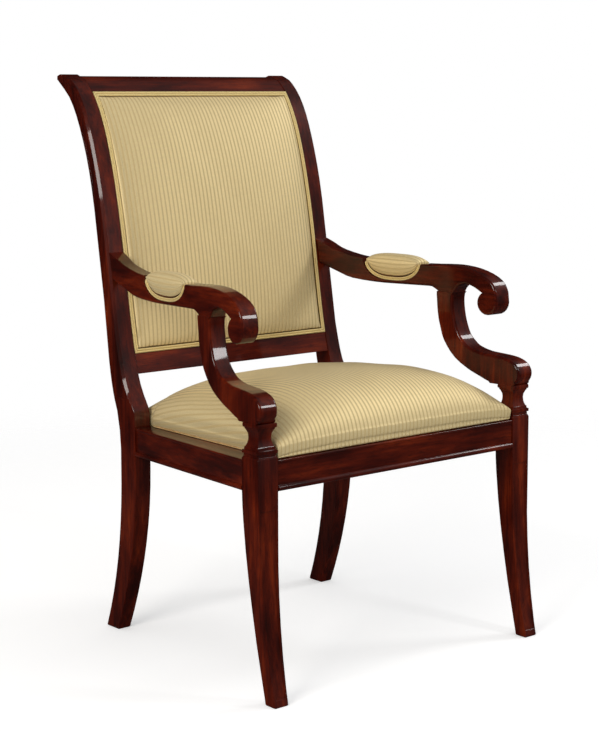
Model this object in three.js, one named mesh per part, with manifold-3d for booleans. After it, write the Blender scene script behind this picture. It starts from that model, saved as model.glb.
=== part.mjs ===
// A fauteuil: an open armchair with a stained hardwood frame and a striped, close-fitted upholstery.
// Sabre legs, raked back posts that scroll backwards at the top, arms that end in a volute,
// and C-scrolled arm supports that stand on small square balusters over the front legs.
// Millimetres, +Z up. The chair faces -Y and +X is on the right of someone who faces it.
// While the pieces are made, y = 0 is the front face of the front legs and z = 0 is the floor.
import * as THREE from 'three';
import { mergeVertices } from 'three/addons/utils/BufferGeometryUtils.js';
import Module from 'manifold-3d';

const wasm = await Module();
wasm.setup();

// Fits and small common sizes
const gap = 0.3; // left between neighbouring pieces
const overrun = 6; // how far a cutter passes the face that it cuts
const arris = 0.9; // eased corners of the posts and legs
const weldDistance = 0.0005; // vertices closer than this are one

// Overall sizes of the frame
const frontWidth = 612; // across the outer faces of the front legs
const rearWidth = 508; // across the outer faces of the rear posts
const frameDepth = 412; // front faces of the front legs to front faces of the rear posts
const postHeight = 988;
const railTopHeight = 391; // top of the front seat rail
const railHeight = 50;
const railDrop = 12; // fall of the side rails towards the back

// Front legs
const legTopHeight = 398;
const legWidth = 41;
const legDepth = 42;
const footWidth = 28;
const footDepth = 24.5;
const legKick = 34.5; // how far the foot stands in front of the block
const legOuterTaper = 5;
const legTopChamfer = 4; // height of the bevel round the top of a front leg
const legTopInset = 2; // and its width
const footChamfer = 1.6;
const legPanelTop = 312; // upper end of the sunk panel on the front face
const legPanelFoot = 12;
const panelMargin = 4.5;
const panelDepth = 1.3;
const legFrontPower = 2.5;
const legBackPower = 1.5;

// Rear posts, one piece from the foot to the scrolled top
const postWidth = 33.5;
const rearFootWidth = 26;
const rearLegDepth = 44;
const rearFootDepth = 37;
const rearKick = 62; // how far the foot stands behind the block
const rearCurveTop = 300;
const blockTop = 404; // where the stile starts to lean back
const blockSwell = 10; // how much thicker the block is at its top
const stileReach = 227; // block front to the rearmost point of the scroll
const stileChamfer = 4.5;
const stileChamferFoot = 414;
const stileChamferRun = 22;
const stilePanelFoot = 428;
const stilePanelHead = 16; // left plain under the top of the post
const rearFrontPower = 2;
const rearBackPower = 2.4;

// Edges of the stile seen from the side: share of its height, share of its reach
const stileFrontShares = [
  [0, 0], [0.017, 0.018], [0.031, 0.042], [0.063, 0.095], [0.094, 0.131], [0.13, 0.16],
  [0.199, 0.207], [0.336, 0.267], [0.473, 0.326], [0.61, 0.389], [0.678, 0.428], [0.747, 0.477],
  [0.815, 0.535], [0.884, 0.608], [0.935, 0.688], [0.969, 0.769], [0.988, 0.835], [1, 0.92],
];
const stileBackShares = [
  [0, 0.238], [0.034, 0.272], [0.079, 0.304], [0.13, 0.329], [0.199, 0.353], [0.336, 0.394],
  [0.473, 0.447], [0.61, 0.506], [0.678, 0.542], [0.747, 0.59], [0.815, 0.654], [0.884, 0.738],
  [0.935, 0.83], [0.969, 0.938], [0.988, 0.997], [0.995, 0.989], [1, 0.95],
];
// Levels at which the stile is drawn, closer together where it bends
const stileLevelShares = [
  0.017, 0.031, 0.05, 0.08, 0.11, 0.15, 0.2, 0.26, 0.33, 0.4, 0.47, 0.54, 0.6, 0.66, 0.71, 0.76,
  0.8, 0.84, 0.875, 0.905, 0.932, 0.955, 0.973, 0.985, 0.995, 1,
];

// Back rails between the posts
const crestHeight = 30; // from the underside of the crest to the tops of the posts
const crestStep = 3; // the crest lies this much under the tops of the posts
const crestInset = 1.5; // and this much behind their front edges
const lowerRailBottom = 468;
const lowerRailTop = 503;
const backRailThickness = 34;

// Seat rails
const railThickness = 28; // front and rear
const sideRailThickness = 50; // wide enough to carry the seat, which stands inside its outer face
const frontRailInset = 2;
const sideRailInset = 3;
const rearRailInset = 12;
const beadHeight = 9;
const beadProjection = 4;
const topBeadHeight = 4;
const topBeadProjection = 1.4;

// Joints of the frame
const tenonThickness = 9;
const tenonLength = 17;
const seatTenonHeight = 20;
const seatTenonRise = 8; // from the bottom of a seat rail to its tenon
const backTenonHeight = 16;
const backTenonRise = 6;
const mortiseEnd = 1; // space past the end of a tenon or dowel
const roundTenonSides = 16;

// Corner blocks and screws
const blockReach = 52; // along each rail, from the corner
const blockHeight = 30;
const blockRise = 6; // above the bottom of the rails
const screwRadius = 2;
const screwHeadRadius = 4;
const screwHeadHeight = 2.6;
const screwSides = 10;
const screwBite = 15; // how far a screw goes into the rail
const screwOffset = 21; // from the corner of the leg to a screw
const crossScrewShare = 1 / 3; // heights of the two rail screws, as shares of the block's height
const sideScrewShare = 2 / 3;
const seatScrewOffset = 14;
const seatScrewBite = 9;

// Arms
const armLength = 432; // front of the volute to the post
const armTopHeight = 652;
const armThickness = 41;
const armRearWidth = 29;
const armFrontWidth = 36;
const noseY = 46; // front of the volute
const voluteRadius = 24;
const voluteEnd = 19.8; // radius where the spiral meets the underside
const voluteDrop = 60; // top of the arm to the centre of the volute
const voluteTurn = 235; // degrees of spiral past the front of the volute
const jointDrop = 48; // top of the arm to the joint with its support
const jointFrontY = 144;
const jointBackY = 182;

// Upper edge of an arm: share of its length from the nose, share of its thickness from its top
const armTopShares = [
  [1.06, 0.86], [1.011, 0.67], [0.951, 0.45], [0.898, 0.256], [0.799, 0.061], [0.704, -0.02],
  [0.565, -0.06], [0.403, -0.06], [0.285, 0], [0.215, 0], [0.141, -0.098], [0.072, -0.317],
  [0.025, -0.62], [0.005, -1.01],
];
// Underside from the joint back to the post
const armBottomShares = [
  [0.327, -1.095], [0.343, -1.03], [0.366, -1], [0.545, -1.05], [0.669, -1.06], [0.799, -0.99],
  [0.866, -0.83], [0.935, -0.62], [1.009, -0.39], [1.06, -0.22],
];
// Underside from the volute over the loop to the joint
const armLoopShares = [
  [0.107, -0.93], [0.132, -0.82], [0.165, -0.745], [0.197, -0.82], [0.218, -1],
];

// Arm supports: a C-scroll that ends in a rounded foot, over a square baluster
const balusterHeight = 52; // top of the leg to the underside of the scroll foot
const scrollFootFront = 6;
const scrollFootBack = 57;
const supportTenonRadius = 8;
const supportTenonLength = 24;
// Shares of the height from the scroll foot to the joint, and of the reach from y = 0 to the joint's back
const scrollBackShares = [
  [1, 1], [0.85, 1.005], [0.71, 0.99], [0.6, 0.966], [0.43, 0.912], [0.247, 0.78],
  [0.13, 0.61], [0.065, 0.467], [0.02, 0.33],
];
const scrollFrontShares = [
  [1, 0.791], [0.91, 0.802], [0.78, 0.791], [0.65, 0.764], [0.513, 0.714], [0.435, 0.648],
  [0.39, 0.593], [0.357, 0.505], [0.338, 0.412], [0.328, 0.275], [0.318, 0.18],
  [0.3, 0.1], [0.263, 0.027], [0.2, -0.02], [0.14, -0.033], [0.08, -0.022], [0.026, 0.011],
];
// Baluster: share of the height from the leg to the scroll foot, share of half the leg's width
const balusterShares = [
  [0, 0.89], [0.075, 0.87], [0.085, 0.98], [0.185, 0.98], [0.2, 0.86], [0.275, 0.84],
  [0.285, 0.79], [0.36, 0.7], [0.46, 0.64], [0.58, 0.62], [0.68, 0.65], [0.78, 0.75],
  [0.82, 0.82], [0.86, 0.84], [0.87, 0.92], [0.93, 0.945], [1, 0.92],
];

// Dowels
const dowelSides = 12;
const dowelRadius = 4;
const armDowelLength = 34;
const armDowelDrop = 12; // top of the arm to its lower dowel
const armDowelPitch = 18; // between its dowels
const supportDowelRadius = 5;
const supportDowelLength = 50;

// Arm pads
const padFrontY = 222;
const padBackY = 364;
const padDepth = 38; // top of the arm to the lower edge of its pad
const padCrown = 9.5; // above the arm
const padCrownPower = 3; // how square the crown is along the pad
const padSwell = 3; // past each side of the arm
const padSwellPower = 4; // how square the swell is along the pad
const padRebate = 4; // depth of the rebate that holds the pad's sides
const padTopRebate = 7;
const coverThickness = 1.3;
const padEdgePower = 2.6; // how square the lower edge of a pad is
const padWelt = 1.7; // radius of one cord of the double welt
const padRoundPower = 0.5; // how square the rounding over the arm is

// Seat
const seatFrontY = 2;
const seatBackY = 452;
const seatSideGap = 1; // beside the balusters
const seatRearHalfWidth = 225; // just in front of the posts
const seatLift = 1; // rail to the lower edge of the cover
const seatBand = 18; // height of the upright band round the seat
const seatDrawIn = 2.5;
const seatCrown = 80;
const seatCornerRun = 9; // length of the step in its sides, just in front of the posts
const seatBoardThickness = 14;
const seatBoardBorder = 58;
const webbingThickness = 1.2; // of one strap
const webbingPress = 0.3; // how far crossing straps press into each other
const webbingWidth = 46;
const webbingLap = 14; // seat board's edge to the ends of the webbing
const webbingStraps = 5;
const webbingTail = 8; // strap ends past the outermost straps that they cross
const dustCoverThickness = 1;
const seatCrownPower = 3.4;
const seatFullness = 0.6; // a smaller share makes the crown fuller near its edges
const seatLean = 0.155; // the crown is higher in front by this share, and lower behind
const seatRowShares = [0, 0.03, 0.09, 0.18, 0.3, 0.42, 0.54, 0.66, 0.78]; // rows before the posts
// Columns of the seat and the back, and rows of the back: places from one edge to the other
const crownShares = [-1, -0.94, -0.82, -0.66, -0.45, -0.22, 0, 0.22, 0.45, 0.66, 0.82, 0.94, 1];

// Back
const backBoardThickness = 6;
const backBoardInset = 10; // stile front to the front of the board
const backCrown = 18;
const backCrownPower = 3.2;
const backEdgeProud = 1; // the cover's edge stands this much in front of the stiles
const outsideBackThickness = 3;
const outsideBackInset = 2;
const backWelt = 1.9; // radius of one cord of the double welt

// Derived sizes
const halfFront = frontWidth / 2;
const halfRear = rearWidth / 2;
const railBottomHeight = railTopHeight - railHeight;
const rearRailBottom = railBottomHeight - railDrop;
const postInner = halfRear - postWidth;
const stileHeight = postHeight - blockTop;
const crestBottom = postHeight - crestHeight;
const legCentreX = halfFront - legWidth / 2;
const legCentreY = legDepth / 2;
const armPostY = noseY + armLength;
const jointHeight = armTopHeight - jointDrop;
const supportFootHeight = legTopHeight + balusterHeight;
const voluteCentreHeight = armTopHeight - voluteDrop;
const armDowelLow = armTopHeight - armDowelDrop;
const armDowelHigh = armDowelLow + armDowelPitch;
const postCentreX = halfRear - postWidth / 2;
const sideRailFrontX = halfFront - sideRailInset;
const sideRailRearX = halfRear - sideRailInset;
const sideRailRun = frameDepth - legDepth;
const sideRailSlope = (sideRailFrontX - sideRailRearX) / sideRailRun;
const sideRailFall = railDrop / sideRailRun;
const rearRailY = frameDepth + rearRailInset;
const rearRailTop = railTopHeight - sideRailFall * (rearRailY + railThickness - legDepth);

// Surfaces of the materials
const finishes = {
  mahogany: { color: '#4a150c', roughness: 0.25, metalness: 0 },
  beech: { color: '#b98d5b', roughness: 0.7, metalness: 0 },
  fabric: { color: '#cdbb82', roughness: 0.8, metalness: 0 },
  foam: { color: '#e6ddb8', roughness: 0.95, metalness: 0 },
  jute: { color: '#9c8256', roughness: 0.95, metalness: 0 },
  cambric: { color: '#1c1b1a', roughness: 0.95, metalness: 0 },
  steel: { color: '#a3a39e', roughness: 0.4, metalness: 1 },
};

const chair = new THREE.Group();

// adds one named piece to the chair
function piece(name, geometry, finish) {
  const mesh = new THREE.Mesh(geometry, new THREE.MeshStandardMaterial(finishes[finish]));
  mesh.name = name;
  chair.add(mesh);
  return mesh;
}

// adds a left piece and its mirror image
function pair(name, geometry, finish) {
  piece(`${name}_left`, geometry, finish);
  const twin = piece(`${name}_right`, geometry, finish);
  twin.scale.x = -1;
}

// merges shared vertices, drops empty triangles and turns the faces outwards
function weld(geometry) {
  const bare = geometry.clone();
  bare.deleteAttribute('normal');
  bare.deleteAttribute('uv');
  const merged = mergeVertices(bare, weldDistance);
  const corner = (i) => new THREE.Vector3().fromBufferAttribute(merged.attributes.position, i);
  const kept = [];
  let volume = 0;
  for (let i = 0; i < merged.index.count; i += 3) {
    const [a, b, c] = [0, 1, 2].map((k) => merged.index.getX(i + k));
    if (a === b || b === c || c === a) continue;
    kept.push([a, b, c]);
    volume += corner(a).dot(corner(b).cross(corner(c)));
  }
  merged.setIndex(kept.flatMap(([a, b, c]) => (volume > 0 ? [a, b, c] : [a, c, b])));
  return merged;
}

function solidOf(geometry) {
  const closed = weld(geometry);
  const mesh = new wasm.Mesh({
    numProp: 3,
    vertProperties: new Float32Array(closed.attributes.position.array),
    triVerts: new Uint32Array(closed.index.array),
  });
  return new wasm.Manifold(mesh);
}

function geometryOf(solid) {
  const mesh = solid.getMesh();
  const geometry = new THREE.BufferGeometry();
  geometry.setAttribute('position', new THREE.Float32BufferAttribute(mesh.vertProperties, 3));
  geometry.setIndex(Array.from(mesh.triVerts));
  return geometry;
}

const cut = (base, ...cutters) =>
  geometryOf(cutters.reduce((left, cutter) => left.subtract(solidOf(cutter)), solidOf(base)));
const join = (base, ...others) =>
  geometryOf(others.reduce((sum, other) => sum.add(solidOf(other)), solidOf(base)));

// a box from its low corner to its high corner
function boxBetween(low, high) {
  const size = high.map((value, axis) => value - low[axis]);
  const centre = high.map((value, axis) => (value + low[axis]) / 2);
  return new THREE.BoxGeometry(...size).translate(...centre);
}

// a side outline in (y, z) carried along x
function sideSlab(outline, lowX, highX) {
  const shape = outline instanceof THREE.Shape ? outline : new THREE.Shape(outline);
  const slab = new THREE.ExtrudeGeometry(shape, { depth: highX - lowX, bevelEnabled: false });
  const alongX = new THREE.Matrix4().makeBasis(
    new THREE.Vector3(0, 1, 0),
    new THREE.Vector3(0, 0, 1),
    new THREE.Vector3(1, 0, 0),
  );
  return slab.applyMatrix4(alongX).translate(lowX, 0, 0);
}

// a plan outline in (x, y) carried up z
function planSlab(outline, lowZ, highZ) {
  const shape = outline instanceof THREE.Shape ? outline : new THREE.Shape(outline);
  const slab = new THREE.ExtrudeGeometry(shape, { depth: highZ - lowZ, bevelEnabled: false });
  return slab.translate(0, 0, lowZ);
}

// a closed solid through rings of points with one count, capped at both ends
function loft(rings) {
  const count = rings[0].length;
  const last = (rings.length - 1) * count;
  const index = [];
  for (let ring = 0; ring < rings.length - 1; ring += 1) {
    for (let i = 0; i < count; i += 1) {
      const a = ring * count + i;
      const b = ring * count + ((i + 1) % count);
      index.push(a, b, b + count, a, b + count, a + count);
    }
  }
  for (let i = 1; i < count - 1; i += 1) {
    index.push(0, i + 1, i, last, last + i, last + i + 1);
  }
  return fromPoints(rings.flat(), index);
}

// a closed ring of sections, such as a welt that meets itself
function hoop(rings) {
  const count = rings[0].length;
  const total = rings.length * count;
  const index = [];
  for (let ring = 0; ring < rings.length; ring += 1) {
    for (let i = 0; i < count; i += 1) {
      const a = ring * count + i;
      const b = ring * count + ((i + 1) % count);
      const c = (b + count) % total;
      index.push(a, b, c, a, c, (a + count) % total);
    }
  }
  return fromPoints(rings.flat(), index);
}

// a closed solid between two grids of points that have the same columns and rows
function between(upper, lower) {
  const rows = upper.length;
  const columns = upper[0].length;
  const size = rows * columns;
  const index = [];
  const at = (row, column) => row * columns + column;
  for (let row = 0; row < rows - 1; row += 1) {
    for (let column = 0; column < columns - 1; column += 1) {
      const [a, b] = [at(row, column), at(row, column + 1)];
      const [c, d] = [at(row + 1, column + 1), at(row + 1, column)];
      index.push(a, b, c, a, c, d, size + a, size + c, size + b, size + a, size + d, size + c);
    }
  }
  const rim = [];
  for (let column = 0; column < columns - 1; column += 1) rim.push(at(0, column));
  for (let row = 0; row < rows - 1; row += 1) rim.push(at(row, columns - 1));
  for (let column = columns - 1; column > 0; column -= 1) rim.push(at(rows - 1, column));
  for (let row = rows - 1; row > 0; row -= 1) rim.push(at(row, 0));
  rim.forEach((a, i) => {
    const b = rim[(i + 1) % rim.length];
    index.push(a, size + a, size + b, a, size + b, b);
  });
  return fromPoints([...upper.flat(), ...lower.flat()], index);
}

function fromPoints(points, index) {
  const geometry = new THREE.BufferGeometry();
  const values = points.flatMap((point) => point.toArray());
  geometry.setAttribute('position', new THREE.Float32BufferAttribute(values, 3));
  geometry.setIndex(index);
  return weld(geometry);
}

// a smooth curve through pairs of shares, read at any first share
function curveThrough(shares) {
  const places = shares.map(([place]) => place);
  const values = shares.map(([, value]) => value);
  const curve = new THREE.CubicInterpolant(places, values, 1);
  return (share) => curve.evaluate(THREE.MathUtils.clamp(share, 0, 1))[0];
}

const steps = (count) => Array.from({ length: count + 1 }, (_, i) => i / count);
const mix = THREE.MathUtils.lerp;
const vector = (x, y, z) => new THREE.Vector3(x, y, z);

// 1 at the floor, easing to 0 at the top of a leg's curve
const fade = (z, top, power) => (z >= top ? 0 : (1 - z / top) ** power);

// Side outlines of the rear post
const frontCurve = curveThrough(stileFrontShares);
const backCurve = curveThrough(stileBackShares);

function postFront(z) {
  if (z > blockTop) return frameDepth + stileReach * frontCurve((z - blockTop) / stileHeight);
  return frameDepth + rearKick * fade(z, rearCurveTop, rearFrontPower);
}

function postBack(z) {
  if (z > blockTop) return frameDepth + stileReach * backCurve((z - blockTop) / stileHeight);
  const swell = Math.max(0, (z - rearRailBottom) / (blockTop - rearRailBottom)) ** 2;
  const sweep = rearKick + rearFootDepth - rearLegDepth;
  return frameDepth + rearLegDepth + blockSwell * swell + sweep * fade(z, rearRailBottom, rearBackPower);
}

// one level of a leg or post on the left: outer front corner chamfered, the others eased
function corners(outer, inner, front, back, z, chamfer, inset = 0) {
  const [o, i, f, b] = [-outer + inset, -inner - inset, front + inset, back - inset];
  return [
    vector(o, f + chamfer, z), vector(o + chamfer, f, z),
    vector(i - arris, f, z), vector(i, f + arris, z),
    vector(i, b - arris, z), vector(i - arris, b, z),
    vector(o + arris, b, z), vector(o, b - arris, z),
  ];
}

// The front leg: a square block over a sabre leg, with a sunk panel down its front face
function frontLeg() {
  const outer = (z) => halfFront - legOuterTaper * fade(z, railBottomHeight, legBackPower);
  const innerTaper = legWidth - footWidth - legOuterTaper;
  const inner = (z) => halfFront - legWidth + innerTaper * fade(z, railBottomHeight, legBackPower);
  const front = (z) => -legKick * fade(z, railBottomHeight, legFrontPower);
  const sweep = legDepth + legKick - footDepth;
  const back = (z) => legDepth - sweep * fade(z, railBottomHeight, legBackPower);
  const level = (z, inset = 0) => corners(outer(z), inner(z), front(z), back(z), z, arris, inset);
  const curved = steps(14).map((share) => mix(footChamfer, railBottomHeight, share));
  const rings = [
    level(0, footChamfer),
    ...curved.map((z) => level(z)),
    level(legTopHeight - legTopChamfer),
    level(legTopHeight, legTopInset),
  ];
  const panel = steps(14).map((share) => {
    const z = mix(legPanelFoot, legPanelTop, share);
    const [left, right] = [-outer(z) + panelMargin, -inner(z) - panelMargin];
    const deep = front(z) + panelDepth;
    const out = front(z) - overrun;
    return [vector(left, out, z), vector(right, out, z), vector(right, deep, z), vector(left, deep, z)];
  });
  const socket = new THREE.CylinderGeometry(
    supportTenonRadius + gap,
    supportTenonRadius + gap,
    supportTenonLength + mortiseEnd + overrun,
    roundTenonSides,
  );
  const socketZ = legTopHeight - supportTenonLength - mortiseEnd;
  socket.rotateX(Math.PI / 2);
  socket.translate(-legCentreX, legCentreY, (socketZ + legTopHeight + overrun) / 2);
  return cut(loft(rings), loft(panel), socket, frontTenon(gap), sideRail(gap));
}

// The rear post: sabre leg, seat block and stile, which leans back and ends in a small scroll
function rearPost() {
  const inner = (z) => postInner + (postWidth - rearFootWidth) * fade(z, rearCurveTop, legBackPower);
  const chamfer = (z) => {
    const grown = THREE.MathUtils.clamp((z - stileChamferFoot) / stileChamferRun, 0, 1);
    return mix(arris, stileChamfer, grown);
  };
  const level = (z, inset = 0) =>
    corners(halfRear, inner(z), postFront(z), postBack(z), z, chamfer(z), inset);
  const leg = steps(12).map((share) => mix(footChamfer, blockTop, share));
  const stile = stileLevelShares.map((share) => mix(blockTop, postHeight, share));
  const rings = [level(0, footChamfer), ...[...leg, ...stile].map((z) => level(z))];
  const panel = steps(16).map((share) => {
    const z = mix(stilePanelFoot, postHeight - stilePanelHead, share);
    const front = postFront(z) + panelMargin + stileChamfer;
    const back = postBack(z) - panelMargin;
    const [out, deep] = [-halfRear - overrun, -halfRear + panelDepth];
    return [vector(out, front, z), vector(deep, front, z), vector(deep, back, z), vector(out, back, z)];
  });
  return cut(
    loft(rings), loft(panel), sideRail(gap), rearTenon(gap), crestTenon(gap), lowerTenon(gap),
    armDowel(armDowelLow, gap), armDowel(armDowelHigh, gap),
  );
}

// Seat rails: a flat face with a small bead along the top and a larger one along the bottom.
// The outline is (outward, up) from the inner bottom corner of the rail.
function railSlab(thickness, length) {
  const shape = new THREE.Shape();
  const bead = (middle, height, projection) =>
    shape.absellipse(0, middle, projection, height / 2, -Math.PI / 2, Math.PI / 2);
  shape.moveTo(-thickness, 0);
  shape.lineTo(0, 0);
  bead(beadHeight / 2, beadHeight, beadProjection);
  shape.lineTo(0, railHeight - topBeadHeight);
  bead(railHeight - topBeadHeight / 2, topBeadHeight, topBeadProjection);
  shape.lineTo(-thickness, railHeight);
  shape.closePath();
  return new THREE.ExtrudeGeometry(shape, { depth: length, bevelEnabled: false, curveSegments: 5 });
}

const frontTenonX = halfFront - legWidth + tenonLength;

function frontTenon(grow) {
  const y = frontRailInset + railThickness / 2 - tenonThickness;
  const z = railBottomHeight + seatTenonRise;
  const end = frontTenonX + grow + (grow > 0 ? mortiseEnd : 0);
  return boxBetween(
    [-end, y - grow, z - grow],
    [end, y + tenonThickness + grow, z + seatTenonHeight + grow],
  );
}

function frontRail() {
  const half = halfFront - legWidth - gap;
  const bar = railSlab(railThickness, 2 * half);
  const turned = new THREE.Matrix4().makeBasis(vector(0, -1, 0), vector(0, 0, 1), vector(-1, 0, 0));
  bar.applyMatrix4(turned).translate(half, frontRailInset, railBottomHeight);
  return join(bar, frontTenon(0));
}

// The left side rail, sheared to follow the taper of the seat and its fall to the back.
// With grow it is the cutter for its own two mortises.
function sideRail(grow) {
  const lean = new THREE.Matrix4().set(
    1, sideRailSlope, 0, 0,
    0, 1, 0, 0,
    0, -sideRailFall, 1, 0,
    0, 0, 0, 1,
  );
  const x = (legWidth + tenonThickness) / 2 - sideRailInset;
  const [low, high] = [seatTenonRise - grow, seatTenonRise + seatTenonHeight + grow];
  const end = tenonLength + grow + (grow > 0 ? mortiseEnd : 0);
  const tenon = boxBetween(
    [x - tenonThickness - grow, -end, low],
    [x + grow, sideRailRun + end, high],
  );
  const bar = railSlab(sideRailThickness, sideRailRun - 2 * gap);
  const turned = new THREE.Matrix4().makeBasis(vector(-1, 0, 0), vector(0, 0, 1), vector(0, 1, 0));
  bar.applyMatrix4(turned).translate(0, gap, 0);
  const rail = grow > 0 ? tenon : join(bar, tenon);
  return rail.applyMatrix4(lean).translate(-sideRailFrontX, legDepth, railBottomHeight);
}

function rearTenon(grow) {
  const y = rearRailY + railThickness / 2;
  const z = rearRailBottom + seatTenonRise;
  const end = postInner + tenonLength + grow + (grow > 0 ? mortiseEnd : 0);
  return boxBetween(
    [-end, y - grow, z - grow],
    [end, y + tenonThickness + grow, z + seatTenonHeight + grow],
  );
}

function rearRail() {
  const half = postInner - gap;
  const bar = boxBetween([-half, rearRailY, rearRailBottom], [half, rearRailY + railThickness, rearRailTop]);
  return join(bar, rearTenon(0));
}

// a rail between the posts whose edges follow theirs
function backRail(bottom, top, thickness, tenon) {
  const heights = steps(8).map((share) => mix(bottom, top, share));
  const front = heights.map((z) => new THREE.Vector2(postFront(z) + crestInset, z));
  const depth = (z) => Math.min(postBack(z) - crestInset, postFront(z) + crestInset + thickness);
  const back = heights.map((z) => new THREE.Vector2(depth(z), z)).reverse();
  return join(sideSlab([...front, ...back], -postInner + gap, postInner - gap), tenon);
}

function backTenon(bottom, grow) {
  const z = bottom + backTenonRise;
  const y = postFront(z + backTenonHeight) + tenonThickness;
  const end = postInner + tenonLength + grow + (grow > 0 ? mortiseEnd : 0);
  return boxBetween(
    [-end, y - grow, z - grow],
    [end, y + tenonThickness + grow, z + backTenonHeight + grow],
  );
}

const crestTenon = (grow) => backTenon(crestBottom, grow);
const lowerTenon = (grow) => backTenon(lowerRailBottom, grow);

// Corner blocks fill the corners between the rails, behind the front legs and before the posts.
function railInnerX(y) {
  return -sideRailFrontX + sideRailThickness + sideRailSlope * (y - legDepth);
}

const frontBlockY = frontRailInset + railThickness + gap;
const rearBlockY = rearRailY - gap;

// A countersunk screw: its head is at the origin and its point runs down -y. With grow it is the
// hole for that screw, open on the side of the head.
function screw(length, grow) {
  const [shank, head] = [screwRadius + grow, screwHeadRadius + grow];
  const mouth = grow > 0 ? overrun : 0;
  const profile = [
    [0, -length - grow], [shank, screwRadius - length - grow], [shank, -screwHeadHeight - grow],
    [head, 0], [head, mouth], [0, mouth],
  ];
  const points = profile.map(([radius, height]) => new THREE.Vector2(radius, height));
  return new THREE.LatheGeometry(grow > 0 ? points : points.toSpliced(4, 1), screwSides);
}

// Each corner: the end of its side rail, the face of its cross rail and the way to the middle
const cornerPlaces = {
  front: { railEndY: legDepth + gap, crossY: frontBlockY, direction: 1, drop: 0 },
  rear: { railEndY: frameDepth - gap, crossY: rearBlockY, direction: -1, drop: railDrop },
};

// A block's plan: along the side rail, over to the cross rail, and back into the corner
function cornerOutline({ railEndY, crossY, direction }) {
  const far = railEndY + direction * blockReach;
  const cornerX = railInnerX(railEndY) + gap;
  return [
    [cornerX, railEndY], [railInnerX(far) + gap, far], [cornerX + blockReach, crossY], [cornerX, crossY],
  ].map(([x, y]) => new THREE.Vector2(x, y));
}

// The three screws of a corner: into the cross rail, into the side rail and up into the seat
function cornerScrews(place, grow) {
  const { railEndY, direction, drop } = place;
  const floor = railBottomHeight - drop + blockRise;
  const [corner, far, end] = cornerOutline(place);
  const slant = (far.y - end.y) / (end.x - far.x);
  const x = corner.x + screwOffset;
  const y = end.y + slant * (end.x - x) - direction * screwHeadRadius;
  const cross = screw(Math.abs(y - end.y) + screwBite, grow);
  cross.rotateX(direction > 0 ? 0 : Math.PI).translate(x, y, floor + blockHeight * crossScrewShare);
  const sideY = railEndY + direction * screwOffset;
  const sideX = end.x - (sideY - end.y) / slant - screwHeadRadius;
  const side = screw(sideX - railInnerX(sideY) + screwBite, grow);
  side.rotateZ(-Math.PI / 2).translate(sideX, sideY, floor + blockHeight * sideScrewShare);
  const seatY = railEndY + direction * seatScrewOffset;
  const up = screw(seatPlane(seatY) - floor + seatScrewBite, grow);
  up.rotateX(-Math.PI / 2).translate(corner.x + seatScrewOffset, seatY, floor);
  return { cross, side, up };
}

const screwCutters = (place) => Object.values(cornerScrews(place, gap));

// Arms and their supports stand in one upright plane that opens towards the front.
function armCentre(y) {
  return mix(legCentreX, postCentreX, (y - legCentreY) / (armPostY - legCentreY));
}

function armHalf(y) {
  return mix(armFrontWidth, armRearWidth, (y - noseY) / armLength) / 2;
}

// sets a slab that is one unit wide each way into the plane of the left arm
function splay(geometry, half = armHalf) {
  const place = geometry.attributes.position;
  for (let i = 0; i < place.count; i += 1) {
    const y = place.getY(i);
    place.setX(i, -armCentre(y) + place.getX(i) * half(y));
  }
  return geometry;
}

const smooth = (points, count) => new THREE.SplineCurve(points).getPoints(count);
const armPoint = ([along, up]) =>
  new THREE.Vector2(noseY + armLength * along, armTopHeight + armThickness * up);

function volute() {
  return steps(14).map((share) => {
    const angle = THREE.MathUtils.degToRad(180 + voluteTurn * share);
    const radius = mix(voluteRadius, voluteEnd, share);
    const y = noseY + voluteRadius + radius * Math.cos(angle);
    return new THREE.Vector2(y, voluteCentreHeight + radius * Math.sin(angle));
  });
}

// everything from the front edge of a post backwards, with the clearance in front of it
function postShadow() {
  const top = armTopHeight + armThickness;
  const heights = steps(12).map((share) => mix(jointHeight - overrun, top, share));
  const front = heights.map((z) => new THREE.Vector2(postFront(z) - gap, z));
  const rear = frameDepth + stileReach;
  const behind = [new THREE.Vector2(rear, top), new THREE.Vector2(rear, heights[0])];
  return sideSlab([...front, ...behind], -1, 1);
}

function armSlab() {
  const joint = new THREE.Vector2(jointFrontY, jointHeight);
  const cusp = new THREE.Vector2(jointBackY, jointHeight);
  const outline = [
    ...smooth(armTopShares.map(armPoint), 30),
    ...volute(),
    ...smooth([...armLoopShares.map(armPoint), joint], 10),
    ...smooth([cusp, ...armBottomShares.map(armPoint)], 20),
  ];
  return splay(sideSlab(outline, -1, 1));
}

// Lower edge of an arm pad: half of a superellipse, drawn in by inset. The angle runs from 0 at
// the front end to half a turn at the rear end.
const padMiddleY = (padFrontY + padBackY) / 2;
const padHalfLength = (padBackY - padFrontY) / 2;

function padCurve(angle, inset) {
  const along = Math.sign(Math.cos(angle)) * Math.abs(Math.cos(angle)) ** (2 / padEdgePower);
  const y = padMiddleY - (padHalfLength - inset) * along;
  return new THREE.Vector2(y, armTopHeight - (padDepth - inset) * Math.sin(angle));
}

function padEdge(y, inset) {
  const across = Math.min(Math.abs(y - padMiddleY) / (padHalfLength - inset), 1);
  return armTopHeight - (padDepth - inset) * Math.sqrt(1 - across ** padEdgePower);
}

// the section of a pad or of the wood under it: a rounded arch over a flat foot
function arch(y, half, low, top) {
  return steps(12).map((turn) => {
    const angle = Math.PI * turn;
    const across = Math.sign(Math.cos(angle)) * Math.abs(Math.cos(angle)) ** padRoundPower;
    const up = Math.sin(angle) ** padRoundPower;
    return vector(-armCentre(y) + half * across, y, mix(low, top, up));
  });
}

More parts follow.
